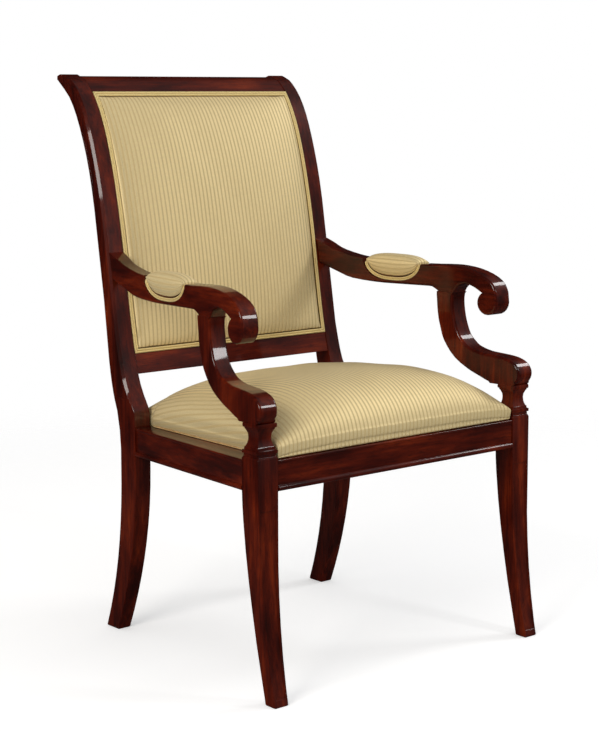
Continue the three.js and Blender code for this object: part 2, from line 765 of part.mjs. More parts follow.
// The space that an arm gives up for its pad: a rebate on both sides and over the top.
// With inset the space is smaller all round.
function padSpace(inset) {
  const lower = steps(24).map((share) => padCurve(Math.PI * share, inset));
  const high = armTopHeight + padCrown + overrun;
  const upper = [lower.at(-1), lower[0]].map(({ x }) => new THREE.Vector2(x, high));
  const space = splay(sideSlab([...lower, ...upper], -1, 1), (y) => armHalf(y) + padSwell + overrun);
  const top = armTopHeight - padTopRebate + inset;
  const core = [padFrontY, padBackY].map((y) =>
    arch(y, armHalf(y) - padRebate + inset, jointHeight - overrun, top));
  return cut(space, loft(core));
}

// the rounded body of a pad; depth shrinks it on every side, drop opens its underside
function padBody(inset, depth, drop) {
  const [front, back] = [padFrontY + inset + depth, padBackY - inset - depth];
  const rings = steps(12).map((share) => {
    const y = mix(front, back, 0.5 - Math.cos(Math.PI * share) / 2);
    const across = Math.abs(y - padMiddleY) / padHalfLength;
    const top = armTopHeight + padCrown * (1 - across ** padCrownPower) - depth + padWelt;
    const half = armHalf(y) + padSwell * (1 - across ** padSwellPower) - depth;
    return arch(y, half, padEdge(y, inset) - drop, top);
  });
  return loft(rings);
}

const padWeltWidth = 4 * padWelt;

function armPadPieces() {
  const wood = cut(armSlab(), padSpace(gap));
  const inset = padWeltWidth + 2 * gap;
  const hollow = padBody(inset, coverThickness, coverThickness);
  const cover = cut(padBody(inset, 0, 0), hollow, wood);
  const foam = cut(padBody(inset, coverThickness + gap, 0), wood);
  return { cover, foam };
}

// The double welt that runs along both lower edges of a pad and over the arm at both its ends.
// Its middle follows the pad's edge, drawn in by half its width: a turn of the superellipse from
// the front end, down and back up to the rear end on one side, then over the rounded wood.
function armPadWelt() {
  const inset = gap + padWeltWidth / 2;
  const bed = (y) => armHalf(y) - padRebate + gap;
  const top = armTopHeight - padTopRebate + gap;
  const low = top - padWeltWidth;
  const turnAt = (z) => Math.asin((armTopHeight - z) / (padDepth - inset));
  const downSide = (side, shares) => shares.map((share) => {
    const place = padCurve(mix(turnAt(low), Math.PI - turnAt(low), share), inset);
    return { at: vector(side * bed(place.x), place.x, place.y), out: vector(side, 0, 0) };
  });
  const overTop = (side) => steps(8).slice(1, -1).map((share) => {
    const angle = Math.PI * share;
    const z = mix(low, top, Math.sin(angle) ** padRoundPower);
    const y = padCurve(side > 0 ? Math.PI - turnAt(z) : turnAt(z), inset).x;
    const across = Math.sign(Math.cos(angle)) * Math.abs(Math.cos(angle)) ** padRoundPower;
    const out = vector(side * Math.cos(angle), 0, Math.sin(angle));
    return { at: vector(side * bed(y) * across, y, z), out };
  });
  const frames = [
    ...downSide(1, steps(14)), ...overTop(1), ...downSide(-1, steps(14).toReversed()), ...overTop(-1),
  ];
  const rings = frames.map(({ at, out }, i) => {
    const before = frames.at(i - 1).at;
    const after = frames[(i + 1) % frames.length].at;
    const across = after.clone().sub(before).cross(out).normalize();
    const centre = at.clone().add(vector(-armCentre(at.y), 0, 0));
    return weltSection(padWelt, 0).map(([wide, proud]) =>
      centre.clone().addScaledVector(across, wide).addScaledVector(out, proud + gap));
  });
  return hoop(rings);
}

function armDowel(z, grow) {
  const radius = dowelRadius + grow;
  const length = armDowelLength + 2 * grow + (grow > 0 ? 2 * mortiseEnd : 0);
  const dowel = new THREE.CylinderGeometry(radius, radius, length, dowelSides);
  return dowel.translate(-postCentreX, postFront(z), z);
}

function supportDowel(grow) {
  const radius = supportDowelRadius + grow;
  const length = supportDowelLength + 2 * grow + (grow > 0 ? 2 * mortiseEnd : 0);
  const y = (jointFrontY + jointBackY) / 2;
  const dowel = new THREE.CylinderGeometry(radius, radius, length, dowelSides).rotateX(Math.PI / 2);
  return dowel.translate(-armCentre(y), y, jointHeight);
}

function arm() {
  return cut(
    armSlab(), padSpace(0), splay(postShadow(), (y) => armHalf(y) + overrun),
    armDowel(armDowelLow, gap), armDowel(armDowelHigh, gap), supportDowel(gap),
  );
}

// The carved support of an arm: C-scroll, square baluster and the tenon that goes into the leg
function armSupport() {
  const top = jointHeight - gap;
  const point = ([up, along]) =>
    new THREE.Vector2(jointBackY * along, mix(supportFootHeight, top, up));
  const outline = [
    ...smooth(scrollFrontShares.map(point), 44),
    new THREE.Vector2(scrollFootFront, supportFootHeight),
    new THREE.Vector2(scrollFootBack, supportFootHeight),
    ...smooth(scrollBackShares.map(point), 22).reverse(),
  ];
  const scroll = splay(sideSlab(outline, -1, 1));
  const profile = balusterShares.map(([up, out]) => {
    const half = (out * legWidth) / 2;
    return new THREE.Vector2(half * Math.SQRT2, mix(legTopHeight + gap, supportFootHeight + arris, up));
  });
  profile.unshift(new THREE.Vector2(0, profile[0].y));
  profile.push(new THREE.Vector2(0, profile.at(-1).y));
  const baluster = new THREE.LatheGeometry(profile, 4, Math.PI / 4);
  baluster.rotateX(Math.PI / 2).translate(-legCentreX, legCentreY, 0);
  const reach = supportTenonLength + overrun;
  const tenon = new THREE.CylinderGeometry(supportTenonRadius, supportTenonRadius, reach, roundTenonSides);
  const middle = legTopHeight - supportTenonLength + reach / 2;
  tenon.rotateX(Math.PI / 2).translate(-legCentreX, legCentreY, middle);
  return cut(join(scroll, baluster, tenon), supportDowel(gap));
}

// Seat
const seatSideStart = halfFront - legWidth - seatSideGap;
const seatSideEnd = postInner - seatSideGap;

// top of the seat rails under a point of the seat
function seatPlane(y) {
  return railTopHeight - sideRailFall * (y - legDepth);
}

// The seat narrows towards the back, and steps in just before it passes between the posts.
const seatNotchY = frameDepth - seatSideGap;
const seatBendY = seatNotchY - seatCornerRun;

function seatHalf(y) {
  if (y >= seatBendY) {
    return mix(seatRearHalfWidth, seatSideEnd, Math.min((y - seatBendY) / seatCornerRun, 1));
  }
  return mix(seatSideStart, seatRearHalfWidth, Math.max(y - legDepth, 0) / (seatBendY - legDepth));
}

const seatRowY = [
  ...seatRowShares.map((share) => mix(seatFrontY, seatBackY, share)),
  seatBendY, seatNotchY, (seatNotchY + seatBackY) / 2, seatBackY,
];

// how high a crowned cushion stands at a place between -1 and 1 each way, as a share of its crown
function crownAt(across, along, power) {
  return (1 - Math.abs(across) ** power) * (1 - Math.abs(along) ** power);
}

// adds a copy of the first and last entry, for the border that is turned over
const withBorder = (list) => [list[0], ...list, list.at(-1)];

// The domed skin of the seat, shrunk by depth. Its border goes down to the lower edge, and with
// flat the whole skin lies there.
function seatSkin(depth, lowerEdge, flat = false) {
  const [columns, rows] = [withBorder(crownShares), withBorder(seatRowY)];
  return rows.map((row, j) => columns.map((column, i) => {
    const border = flat || i === 0 || j === 0 || i === columns.length - 1 || j === rows.length - 1;
    const inset = depth + (border ? seatDrawIn : 0);
    const y = THREE.MathUtils.clamp(row, seatFrontY + inset, seatBackY - inset);
    const along = (2 * (row - seatFrontY)) / (seatBackY - seatFrontY) - 1;
    const dome = seatCrown * (1 - seatLean * along);
    const crown = dome * crownAt(column, along, seatCrownPower) ** seatFullness;
    const height = border ? lowerEdge : seatLift + seatBand + crown - depth;
    return vector(column * (seatHalf(y) - inset), y, seatPlane(y) + height);
  }));
}

const seatBoardTop = gap + seatBoardThickness;
const seatFoamFloor = seatBoardTop + 2 * webbingThickness - webbingPress + 2 * gap;

const seatCover = () => between(seatSkin(0, seatLift), seatSkin(coverThickness, seatLift));

function seatFoam() {
  const depth = coverThickness + gap;
  return between(seatSkin(depth, seatFoamFloor), seatSkin(depth, seatFoamFloor, true));
}

// tilts a flat piece to the plane of the seat
function onSeat(geometry, height) {
  const lean = new THREE.Matrix4().set(
    1, 0, 0, 0,
    0, 1, 0, 0,
    0, -sideRailFall, 1, 0,
    0, 0, 0, 1,
  );
  geometry.translate(0, -legDepth, 0).applyMatrix4(lean);
  return geometry.translate(0, legDepth, railTopHeight + height);
}

// both edges of a flat piece under the seat, at the given places
function seatPlan(places, half) {
  const right = places.map((y) => new THREE.Vector2(half(y), y));
  const left = places.map((y) => new THREE.Vector2(-half(y), y)).reverse();
  return [...right, ...left];
}

// the four holes for the screws that hold the seat
function seatScrewHoles() {
  const holes = Object.values(cornerPlaces).map((place) => cornerScrews(place, gap).up);
  return [...holes, ...holes.map((hole) => hole.clone().scale(-1, 1, 1))];
}

function seatBoard() {
  const inset = seatDrawIn + coverThickness + gap;
  const [front, back] = [seatFrontY + inset, seatBackY - inset];
  const half = (y) => seatHalf(y) - inset;
  const board = new THREE.Shape(seatPlan([front, legDepth, seatBendY, seatNotchY, back], half));
  const opening = [front + seatBoardBorder, back - seatBoardBorder];
  board.holes.push(new THREE.Path(seatPlan(opening, (y) => half(y) - seatBoardBorder)));
  return cut(onSeat(planSlab(board, 0, seatBoardThickness), gap), ...seatScrewHoles());
}

// straps that cross the opening of the seat board, those from side to side over the others
function seatWebbing() {
  const inset = seatDrawIn + coverThickness + webbingLap;
  const half = seatHalf(seatBackY) - inset;
  const [front, back] = [seatFrontY + inset, seatBackY - inset];
  const straps = steps(webbingStraps - 1).flatMap((share) => {
    const x = mix(webbingTail - half, half - webbingTail - webbingWidth, share);
    const y = mix(front + webbingTail, back - webbingTail - webbingWidth, share);
    const upper = webbingThickness - webbingPress;
    return [
      boxBetween([x, front, 0], [x + webbingWidth, back, webbingThickness]),
      boxBetween([-half, y, upper], [half, y + webbingWidth, upper + webbingThickness]),
    ];
  });
  return onSeat(join(...straps), seatBoardTop + gap);
}

// the cloth under the seat board, inside the rails
function seatDustCover() {
  const half = (y) => Math.min(-railInnerX(y), seatHalf(y)) - 2 * gap;
  const places = [frontBlockY, legDepth, seatBendY, seatNotchY, rearBlockY];
  const cloth = onSeat(planSlab(seatPlan(places, half), 0, dustCoverThickness), -dustCoverThickness);
  return cut(cloth, ...seatScrewHoles());
}

// Back: every layer follows the front or the back edge of the stiles, by the same straight
// steps between the same heights, so that neighbours stay clear of each other.
const backLow = lowerRailTop + gap;
const backHigh = crestBottom - gap;
const backHalf = postInner - gap;
const backWeltWidth = 4 * backWelt;
const backInset = backWeltWidth + gap;
const backRowZ = crownShares.map((share) => mix(backLow + backInset, backHigh - backInset, (share + 1) / 2));

function backEdge(edge, offset) {
  const heights = [backLow, ...backRowZ, backHigh];
  const line = new THREE.LinearInterpolant(heights, heights.map((z) => edge(z) + offset), 1);
  return (z) => line.evaluate(z)[0];
}

const backFace = backEdge(postFront, 0);
const outsideFace = backEdge(postBack, -outsideBackInset);

function backSheet(face, depth, thickness, heights) {
  const front = heights.map((z) => new THREE.Vector2(face(z) + depth, z));
  const back = heights.map((z) => new THREE.Vector2(face(z) + depth + thickness, z)).reverse();
  const inset = heights[0] - backLow;
  return sideSlab([...front, ...back], inset - backHalf, backHalf - inset);
}

// the crowned skin of the back, shrunk by depth, its border turned back by tail
function backSkin(depth, tail) {
  const [columns, rows] = [withBorder(crownShares), withBorder(crownShares)];
  const half = backHalf - backInset - depth;
  return rows.map((row, j) => columns.map((column, i) => {
    const border = i === 0 || j === 0 || i === columns.length - 1 || j === rows.length - 1;
    const height = mix(backRowZ[0], backRowZ.at(-1), (row + 1) / 2);
    const z = THREE.MathUtils.clamp(height, backRowZ[0] + depth, backRowZ.at(-1) - depth);
    const crown = backCrown * crownAt(column, row, backCrownPower);
    const proud = border ? -tail : backEdgeProud + crown - depth;
    return vector(column * half, backFace(z) - proud, z);
  }));
}

const backTail = backBoardInset - gap;
const backCover = () => between(backSkin(0, backTail), backSkin(coverThickness, backTail));

function backFoam() {
  const front = backSkin(coverThickness + gap, backTail);
  const rear = front.map((row) => row.map((point) => point.clone().setY(backFace(point.z) + backTail)));
  return between(front, rear);
}

// The section of a double welt: two cords side by side over the strip that they are sewn to.
// Each point is (across, out) from the middle of the strip's upper face.
function weltSection(radius, root) {
  const cord = (centre) => steps(4).map((share) => {
    const angle = Math.PI * share;
    return [centre - radius * Math.cos(angle), radius * Math.sin(angle)];
  });
  return [...cord(-radius), ...cord(radius).slice(1), [2 * radius, -root], [-2 * radius, -root]];
}

// A double welt round the inside of the back's frame, on one of its faces: side is -1 for the
// front face and 1 for the rear one.
function backWeltHoop(face, side, root) {
  const section = weltSection(backWelt, root);
  const half = backWeltWidth / 2;
  const heights = [backLow + half, ...backRowZ, backHigh - half];
  const ring = (across, z, outward) => section.map(([along, out]) => {
    const height = z + along * outward;
    return vector(across * (backHalf - half + along), face(height) + side * out, height);
  });
  const upright = (across) =>
    heights.map((z, i) => ring(across, z, i === 0 ? -1 : Number(i === heights.length - 1)));
  return hoop([...upright(1), ...upright(-1).reverse()]);
}

// The chair
pair('rear_post', rearPost(), 'mahogany');
pair('front_leg', frontLeg(), 'mahogany');
piece('crest_rail', backRail(crestBottom, postHeight - crestStep, Infinity, crestTenon(0)), 'mahogany');
const lowerRail = backRail(lowerRailBottom, lowerRailTop, backRailThickness, lowerTenon(0));
piece('lower_back_rail', lowerRail, 'mahogany');

const screwsLeft = Object.entries(cornerPlaces).map(([end, place]) => [end, cornerScrews(place, 0)]);
const crossCutters = (end) => {
  const hole = cornerScrews(cornerPlaces[end], gap).cross;
  return [hole, hole.clone().scale(-1, 1, 1)];
};
piece('front_seat_rail', cut(frontRail(), ...crossCutters('front')), 'mahogany');
piece('rear_seat_rail', cut(rearRail(), ...crossCutters('rear')), 'mahogany');
const sideHoles = Object.values(cornerPlaces).map((place) => cornerScrews(place, gap).side);
pair('side_seat_rail', cut(sideRail(0), ...sideHoles), 'mahogany');

for (const [end, place] of Object.entries(cornerPlaces)) {
  const floor = railBottomHeight - place.drop + blockRise;
  const block = planSlab(cornerOutline(place), floor, floor + blockHeight);
  pair(`corner_block_${end}`, cut(block, ...screwCutters(place)), 'beech');
}
for (const [end, screws] of screwsLeft) {
  pair(`${end}_rail_screw`, screws.cross, 'steel');
  pair(`side_rail_screw_${end}`, screws.side, 'steel');
  pair(`seat_screw_${end}`, screws.up, 'steel');
}

pair('arm', arm(), 'mahogany');
pair('arm_support', armSupport(), 'mahogany');
pair('arm_dowel_lower', armDowel(armDowelLow, 0), 'beech');
pair('arm_dowel_upper', armDowel(armDowelHigh, 0), 'beech');
pair('support_dowel', supportDowel(0), 'beech');

const padPieces = armPadPieces();
pair('arm_pad_cover', padPieces.cover, 'fabric');
pair('arm_pad_foam', padPieces.foam, 'foam');
pair('arm_pad_welt', armPadWelt(), 'fabric');

piece('seat_board', seatBoard(), 'beech');
piece('seat_webbing', seatWebbing(), 'jute');
piece('seat_foam', seatFoam(), 'foam');
piece('seat_cover', seatCover(), 'fabric');
piece('seat_dust_cover', seatDustCover(), 'cambric');

const panelHeights = [backLow, ...backRowZ, backHigh];
piece('back_board', backSheet(backFace, backBoardInset, backBoardThickness, panelHeights), 'beech');
piece('back_foam', backFoam(), 'foam');
piece('back_cover', backCover(), 'fabric');
piece('back_welt', backWeltHoop(backFace, -1, backTail), 'fabric');
const outside = backSheet(outsideFace, -outsideBackThickness, outsideBackThickness, backRowZ);
piece('outside_back', outside, 'fabric');
piece('outside_back_welt', backWeltHoop(outsideFace, 1, outsideBackThickness), 'fabric');

// The origin goes to the floor under the middle of the chair
const bounds = new THREE.Box3().setFromObject(chair);
chair.position.y = -(bounds.min.y + bounds.max.y) / 2;
chair.updateMatrixWorld(true);

export default chair;
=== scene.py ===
"""The looks of the fauteuil: lacquered mahogany and striped satin upholstery in a pale studio.

Everything is in metres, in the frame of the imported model: +Z up, the chair faces -Y and +X is
on the right of someone who faces it. Wood keeps the CAD solids, with their doubles merged and
their edges rounded. The upholstery is made here, on grids, in the places of its CAD solids.
"""

import math

import bmesh
import bpy
import numpy as np
from mathutils import Matrix, Vector


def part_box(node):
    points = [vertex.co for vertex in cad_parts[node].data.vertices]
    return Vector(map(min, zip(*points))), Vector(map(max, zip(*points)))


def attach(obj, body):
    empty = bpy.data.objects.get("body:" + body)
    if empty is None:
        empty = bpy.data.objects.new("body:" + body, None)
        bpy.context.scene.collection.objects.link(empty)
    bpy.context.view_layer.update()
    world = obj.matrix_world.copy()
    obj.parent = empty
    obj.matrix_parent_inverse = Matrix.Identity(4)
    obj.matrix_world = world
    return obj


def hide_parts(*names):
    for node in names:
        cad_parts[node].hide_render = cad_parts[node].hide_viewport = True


MM = 0.001
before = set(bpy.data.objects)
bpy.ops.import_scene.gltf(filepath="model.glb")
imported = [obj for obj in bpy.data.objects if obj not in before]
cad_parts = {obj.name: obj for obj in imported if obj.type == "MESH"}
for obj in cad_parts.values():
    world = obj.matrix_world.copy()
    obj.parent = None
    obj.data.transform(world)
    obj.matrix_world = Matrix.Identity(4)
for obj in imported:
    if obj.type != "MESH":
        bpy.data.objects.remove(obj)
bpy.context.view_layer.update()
SIDES = (("left", -1), ("right", 1))


# Places that the frame gives
def low(node):
    """Lowest corner of a CAD node."""
    return np.array(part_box(node)[0])


def high(node):
    """Highest corner of a CAD node."""
    return np.array(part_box(node)[1])


SEAT_LOW, SEAT_HIGH = low("seat_cover"), high("seat_cover")
BACK_LOW, BACK_HIGH = low("back_cover"), high("back_cover")
PAD_WELT_LOW, PAD_WELT_HIGH = low("arm_pad_welt_left"), high("arm_pad_welt_left")
BEAD_PROUD = 2 * MM  # the front rail's bead stands this far in front of the legs' front faces
LEG_FRONT = low("front_seat_rail")[1] + BEAD_PROUD
LEG_BACK = high("front_leg_left")[1]
POST_FRONT = low("rear_post_left")[1]
POST_INNER = -high("rear_post_left")[0]
RAIL_TOP_FRONT, RAIL_TOP_REAR = high("front_seat_rail")[2], high("rear_seat_rail")[2]
SCROLL_TOP = high("arm_support_left")[2]


# Colours and nodes
def linear(colour):
    """Linear RGBA of a colour written as sRGB hex."""
    shares = [int(colour[place : place + 2], 16) / 255 for place in (1, 3, 5)]
    curved = [s / 12.92 if s <= 0.04045 else ((s + 0.055) / 1.055) ** 2.4 for s in shares]
    return (*curved, 1.0)


def add_node(tree, kind, settings=None, inputs=None, stops=()):
    """One node with its settings, and for its inputs either values or the sockets that feed them.
    A colour ramp also has its stops, each a place and an sRGB hex colour."""
    node = tree.nodes.new(kind)
    for name, value in (settings or {}).items():
        setattr(node, name, value)
    for name, value in (inputs or {}).items():
        if isinstance(value, bpy.types.NodeSocket):
            tree.links.new(value, node.inputs[name])
        else:
            node.inputs[name].default_value = value
    for index, (place, colour) in enumerate(stops):
        elements = node.color_ramp.elements
        element = elements[index] if index < 2 else elements.new(place)
        element.position, element.color = place, linear(colour)
    return node


def empty_material(name):
    """A material with an empty tree and its output node."""
    material = bpy.data.materials.new(name)
    material.use_nodes = True
    material.node_tree.nodes.clear()
    return material, material.node_tree, add_node(material.node_tree, "ShaderNodeOutputMaterial")


# Lacquered mahogany
# Stained mahogany under a rubbed gloss lacquer: dark red-brown with interlocked ribbon figure,
# short dark pores along the grain, and clear sharp reflections that lie over the colour.
# Each layer of the grain has a width across it, a length along it and a detail.
FIGURE, STREAK = (34 * MM, 150 * MM, 3), (5 * MM, 90 * MM, 4)
PORE = (1.1 * MM, 13 * MM, 1)  # real pores are a fifth as wide and would not show
STREAK_SHARE, PORE_SHARE = 0.3, 0.6
GRAIN_COLOURS = ((0.3, "#200401"), (0.44, "#380802"), (0.56, "#521303"), (0.72, "#7a2807"))
PORE_SHADES = ((0.3, "#8c8c8c"), (0.42, "#ffffff"))
LACQUER_WAVE, LACQUER_RELIEF = 60 * MM, 0.4 * MM


def grain(tree, place, axis, width, length, detail):
    """A noise that is drawn out along one axis."""
    scale = [1 / width] * 3
    scale[axis] = 1 / length
    drawn = add_node(tree, "ShaderNodeMapping", inputs={"Vector": place, "Scale": scale})
    inputs = {"Vector": drawn.outputs["Vector"], "Scale": 1.0, "Detail": detail, "Roughness": 0.55}
    return add_node(tree, "ShaderNodeTexNoise", inputs=inputs).outputs["Fac"]


def lacquered_mahogany(name, axis):
    """Mahogany whose grain runs along one axis."""
    material, tree, output = empty_material(name)
    place = add_node(tree, "ShaderNodeTexCoord").outputs["Object"]
    figure, streak, pore = (grain(tree, place, axis, *layer) for layer in (FIGURE, STREAK, PORE))
    mixed = add_node(tree, "ShaderNodeMix", inputs={"Factor": STREAK_SHARE, 2: figure, 3: streak})
    colour = add_node(
        tree, "ShaderNodeValToRGB", inputs={"Fac": mixed.outputs[0]}, stops=GRAIN_COLOURS
    )
    pores = add_node(tree, "ShaderNodeValToRGB", inputs={"Fac": pore}, stops=PORE_SHADES)
    grained = add_node(
        tree,
        "ShaderNodeMix",
        {"data_type": "RGBA", "blend_type": "MULTIPLY"},
        {"Factor": PORE_SHARE, 6: colour.outputs[0], 7: pores.outputs[0]},
    )
    wave = add_node(
        tree, "ShaderNodeTexNoise", inputs={"Vector": place, "Scale": 1 / LACQUER_WAVE, "Detail": 1}
    )
    bump = add_node(
        tree,
        "ShaderNodeBump",
        inputs={"Strength": 0.15, "Distance": LACQUER_RELIEF, "Height": wave.outputs["Fac"]},
    )
    shader = add_node(
        tree,
        "ShaderNodeBsdfPrincipled",
        inputs={
            "Base Color": grained.outputs[2],
            "Roughness": 0.38,
            "IOR": 1.45,
            "Specular IOR Level": 0.08,
            "Coat Weight": 0.6,
            "Coat Roughness": 0.06,
            "Coat IOR": 1.5,
            "Normal": bump.outputs["Normal"],
            "Coat Normal": bump.outputs["Normal"],
        },
    )
    tree.links.new(shader.outputs["BSDF"], output.inputs["Surface"])
    return material


# Striped satin
# Woven cotton satin with tone-on-tone stripes: broad stripes of threads that float across them
# and catch the lamps along one band of directions, between narrower, duller ribbed ones.
STRIPE_PITCH, WELT_STRIPE_PITCH = 8.4 * MM, 2.6 * MM
RIB_PITCH = 1.1 * MM  # real ribs are half as far apart and would not show
THREAD_PITCH, FLECK_SIZE, FLECK_SHARE = RIB_PITCH / 2, 2 * RIB_PITCH, 0.55
FLECK_SHADES = ((0.3, "#e6e6e6"), (0.7, "#ffffff"))
FLOAT_START, FLOAT_FULL = 0.12, 0.5  # of the stripes' wave, where the floats begin and cover all
FLOAT_MIRROR = 0.5  # share of the light that the floating threads mirror, tinted by their colour
STRIPE_HEIGHT, WEAVE_RELIEF = 2.0, 0.12 * MM  # a stripe stands out twice as far as a rib
CLOTH_MAP = "cloth"


def striped_satin(name, light, dark, pitch=STRIPE_PITCH):
    """Satin whose stripes run along the second coordinate of the piece's cloth map."""
    material, tree, output = empty_material(name)
    place = add_node(tree, "ShaderNodeUVMap", {"uv_map": CLOTH_MAP}).outputs["UV"]
    split = add_node(tree, "ShaderNodeSeparateXYZ", inputs={"Vector": place})
    across, along = split.outputs["X"], split.outputs["Y"]
    object_place = add_node(tree, "ShaderNodeTexCoord").outputs["Object"]

    def wave(coordinate, spacing):
        """A cosine of a coordinate, between 0 and 1, one turn to each spacing."""
        turned = add_node(
            tree, "ShaderNodeMath", {"operation": "MULTIPLY"}, {0: coordinate, 1: math.tau / spacing}
        )
        cosine = add_node(tree, "ShaderNodeMath", {"operation": "COSINE"}, {0: turned.outputs[0]})
        inputs = {"Value": cosine.outputs[0], "From Min": -1.0, "From Max": 1.0}
        return add_node(tree, "ShaderNodeMapRange", inputs=inputs).outputs["Result"]

    stripe = wave(across, pitch)
    stops = ((FLOAT_START, dark), (FLOAT_FULL, light), (1.0, light))
    colour = add_node(tree, "ShaderNodeValToRGB", inputs={"Fac": stripe}, stops=stops)
    inputs = {"Vector": object_place, "Scale": 1 / FLECK_SIZE, "Detail": 3}
    fleck = add_node(tree, "ShaderNodeTexNoise", inputs=inputs)
    inputs = {"Fac": fleck.outputs["Fac"]}
    shade = add_node(tree, "ShaderNodeValToRGB", inputs=inputs, stops=FLECK_SHADES)
    woven = add_node(
        tree,
        "ShaderNodeMix",
        {"data_type": "RGBA", "blend_type": "MULTIPLY"},
        {"Factor": FLECK_SHARE, 6: colour.outputs[0], 7: shade.outputs[0]},
    )
    rib, thread = wave(along, RIB_PITCH), wave(across, THREAD_PITCH)
    relief = add_node(tree, "ShaderNodeMix", inputs={"Factor": stripe, 2: rib, 3: thread})
    raised = add_node(
        tree,
        "ShaderNodeMath",
        {"operation": "MULTIPLY_ADD"},
        {0: stripe, 1: STRIPE_HEIGHT, 2: relief.outputs[0]},
    )
    bump = add_node(
        tree,
        "ShaderNodeBump",
        inputs={"Strength": 0.25, "Distance": WEAVE_RELIEF, "Height": raised.outputs[0]},
    )
    floats = {"From Min": FLOAT_START, "From Max": FLOAT_FULL, "To Max": FLOAT_MIRROR}
    shine = add_node(tree, "ShaderNodeMapRange", inputs={"Value": stripe, **floats})
    threads = add_node(
        tree, "ShaderNodeTangent", {"direction_type": "UV_MAP", "uv_map": CLOTH_MAP}
    )
    shader = add_node(
        tree,
        "ShaderNodeBsdfPrincipled",
        inputs={
            "Base Color": woven.outputs[2],
            "Metallic": shine.outputs["Result"],
            "Roughness": 0.55,
            "IOR": 1.45,
            "Specular IOR Level": 0.3,
            "Anisotropic": 0.6,
            "Anisotropic Rotation": 0.25,
            "Sheen Weight": 0.08,
            "Sheen Roughness": 0.4,
            "Normal": bump.outputs["Normal"],
            "Tangent": threads.outputs["Tangent"],
        },
    )
    tree.links.new(shader.outputs["BSDF"], output.inputs["Surface"])
    return material


# Plain stuffs inside and under the chair
def speckled(name, dark, light, size, roughness, relief, metallic=0.0):
    """A stuff mottled at one size: planed wood, coarse cloth or a plated screw."""
    material, tree, output = empty_material(name)
    place = add_node(tree, "ShaderNodeTexCoord").outputs["Object"]
    inputs = {"Vector": place, "Scale": 1 / size, "Detail": 4}
    height = add_node(tree, "ShaderNodeTexNoise", inputs=inputs).outputs["Fac"]
    stops = ((0.35, dark), (0.65, light))
    colour = add_node(tree, "ShaderNodeValToRGB", inputs={"Fac": height}, stops=stops)
    inputs = {"Strength": 0.5, "Distance": relief, "Height": height}
    bump = add_node(tree, "ShaderNodeBump", inputs=inputs)
    shader = add_node(
        tree,
        "ShaderNodeBsdfPrincipled",
        inputs={
            "Base Color": colour.outputs[0],
            "Roughness": roughness,
            "Metallic": metallic,
            "Normal": bump.outputs["Normal"],
        },
    )
    tree.links.new(shader.outputs["BSDF"], output.inputs["Surface"])
    return material


MAHOGANY = {
    "upright": lacquered_mahogany("mahogany_upright", 2),
    "across": lacquered_mahogany("mahogany_across", 0),
    "deep": lacquered_mahogany("mahogany_deep", 1),
}
SATIN = striped_satin("striped_satin", "#f4dfaa", "#c6ae7a")
WELT_SATIN = striped_satin("welt_satin", "#fbe6a6", "#c9ab68", WELT_STRIPE_PITCH)
# Pale beech under the seat, coarse jute, thin black cambric and the screws' dull plated heads
BEECH = speckled("planed_beech", "#a8814f", "#c9a06c", size=9 * MM, roughness=0.6, relief=0.05 * MM)
JUTE = speckled("jute_webbing", "#7d6640", "#ae9364", size=1.2 * MM, roughness=0.95, relief=0.5 * MM)
CAMBRIC = speckled(
    "black_cambric", "#161514", "#2a2826", size=0.9 * MM, roughness=0.9, relief=0.2 * MM
)
STEEL = speckled(
    "zinc_plated_steel", "#8f908c", "#b9bab5",
    size=3 * MM, roughness=0.35, relief=0.01 * MM, metallic=1.0,
)


# Wood
# Each piece keeps its solid's shape. Its edges are eased as a maker's hand and paper leave them.
EDGE_ROUND, RAIL_ROUND, ARM_ROUND = 1.3 * MM, 0.6 * MM, 4.5 * MM
LEG_ROUND = 0.4 * MM  # keeps the sunk panels crisp, which are 1.3 mm deep
ROUND_STEPS = 4
MERGE_DISTANCE = 0.01 * MM
FLAT_ANGLE, EDGE_ANGLE = math.radians(1.2), math.radians(28)
SIDE_FACING = 0.9  # a face is a side face where this share of its normal or more lies along X
JOINT_DEPTH = 0.5 * MM
BALUSTER_HEIGHT = 58 * MM  # between the leg and the scroll
SCROLL_FOOT = high("front_leg_left")[2] + BALUSTER_HEIGHT
LUG_HEIGHT, LUG_LENGTH = 6 * MM, 20 * MM  # the flat on the arm that its support stands under
PAD_MARGIN = 2 * MM


def merged_copy(node, name):
    """A copy of a CAD node's mesh with its doubles merged and its flat faces made whole."""
    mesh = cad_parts[node].data.copy()
    mesh.name = name
    work = bmesh.new()
    work.from_mesh(mesh)
    bmesh.ops.remove_doubles(work, verts=work.verts, dist=MERGE_DISTANCE)
    bmesh.ops.dissolve_limit(work, angle_limit=FLAT_ANGLE, verts=work.verts, edges=work.edges)
    work.to_mesh(mesh)
    work.free()
    for layer in list(mesh.attributes):
        if layer.name == "custom_normal":
            mesh.attributes.remove(layer)
    return mesh


def weigh_edges(mesh, rounded):
    """Marks for the bevel the edges along the side faces that a test of their two ends takes,
    and keeps all other corners sharp."""
    work = bmesh.new()
    work.from_mesh(mesh)
    corner = np.array([edge.calc_face_angle(0) > EDGE_ANGLE for edge in work.edges])
    chosen = np.array([
        any(abs(face.normal.x) > SIDE_FACING for face in edge.link_faces)
        and rounded(np.array([vertex.co for vertex in edge.verts]))
        for edge in work.edges
    ])
    work.free()
    weights = mesh.attributes.new("bevel_weight_edge", "FLOAT", "EDGE")
    weights.data.foreach_set("value", (corner & chosen).astype(np.float32))
    sharp = mesh.attributes.get("sharp_edge") or mesh.attributes.new("sharp_edge", "BOOLEAN", "EDGE")
    sharp.data.foreach_set("value", corner & ~chosen)


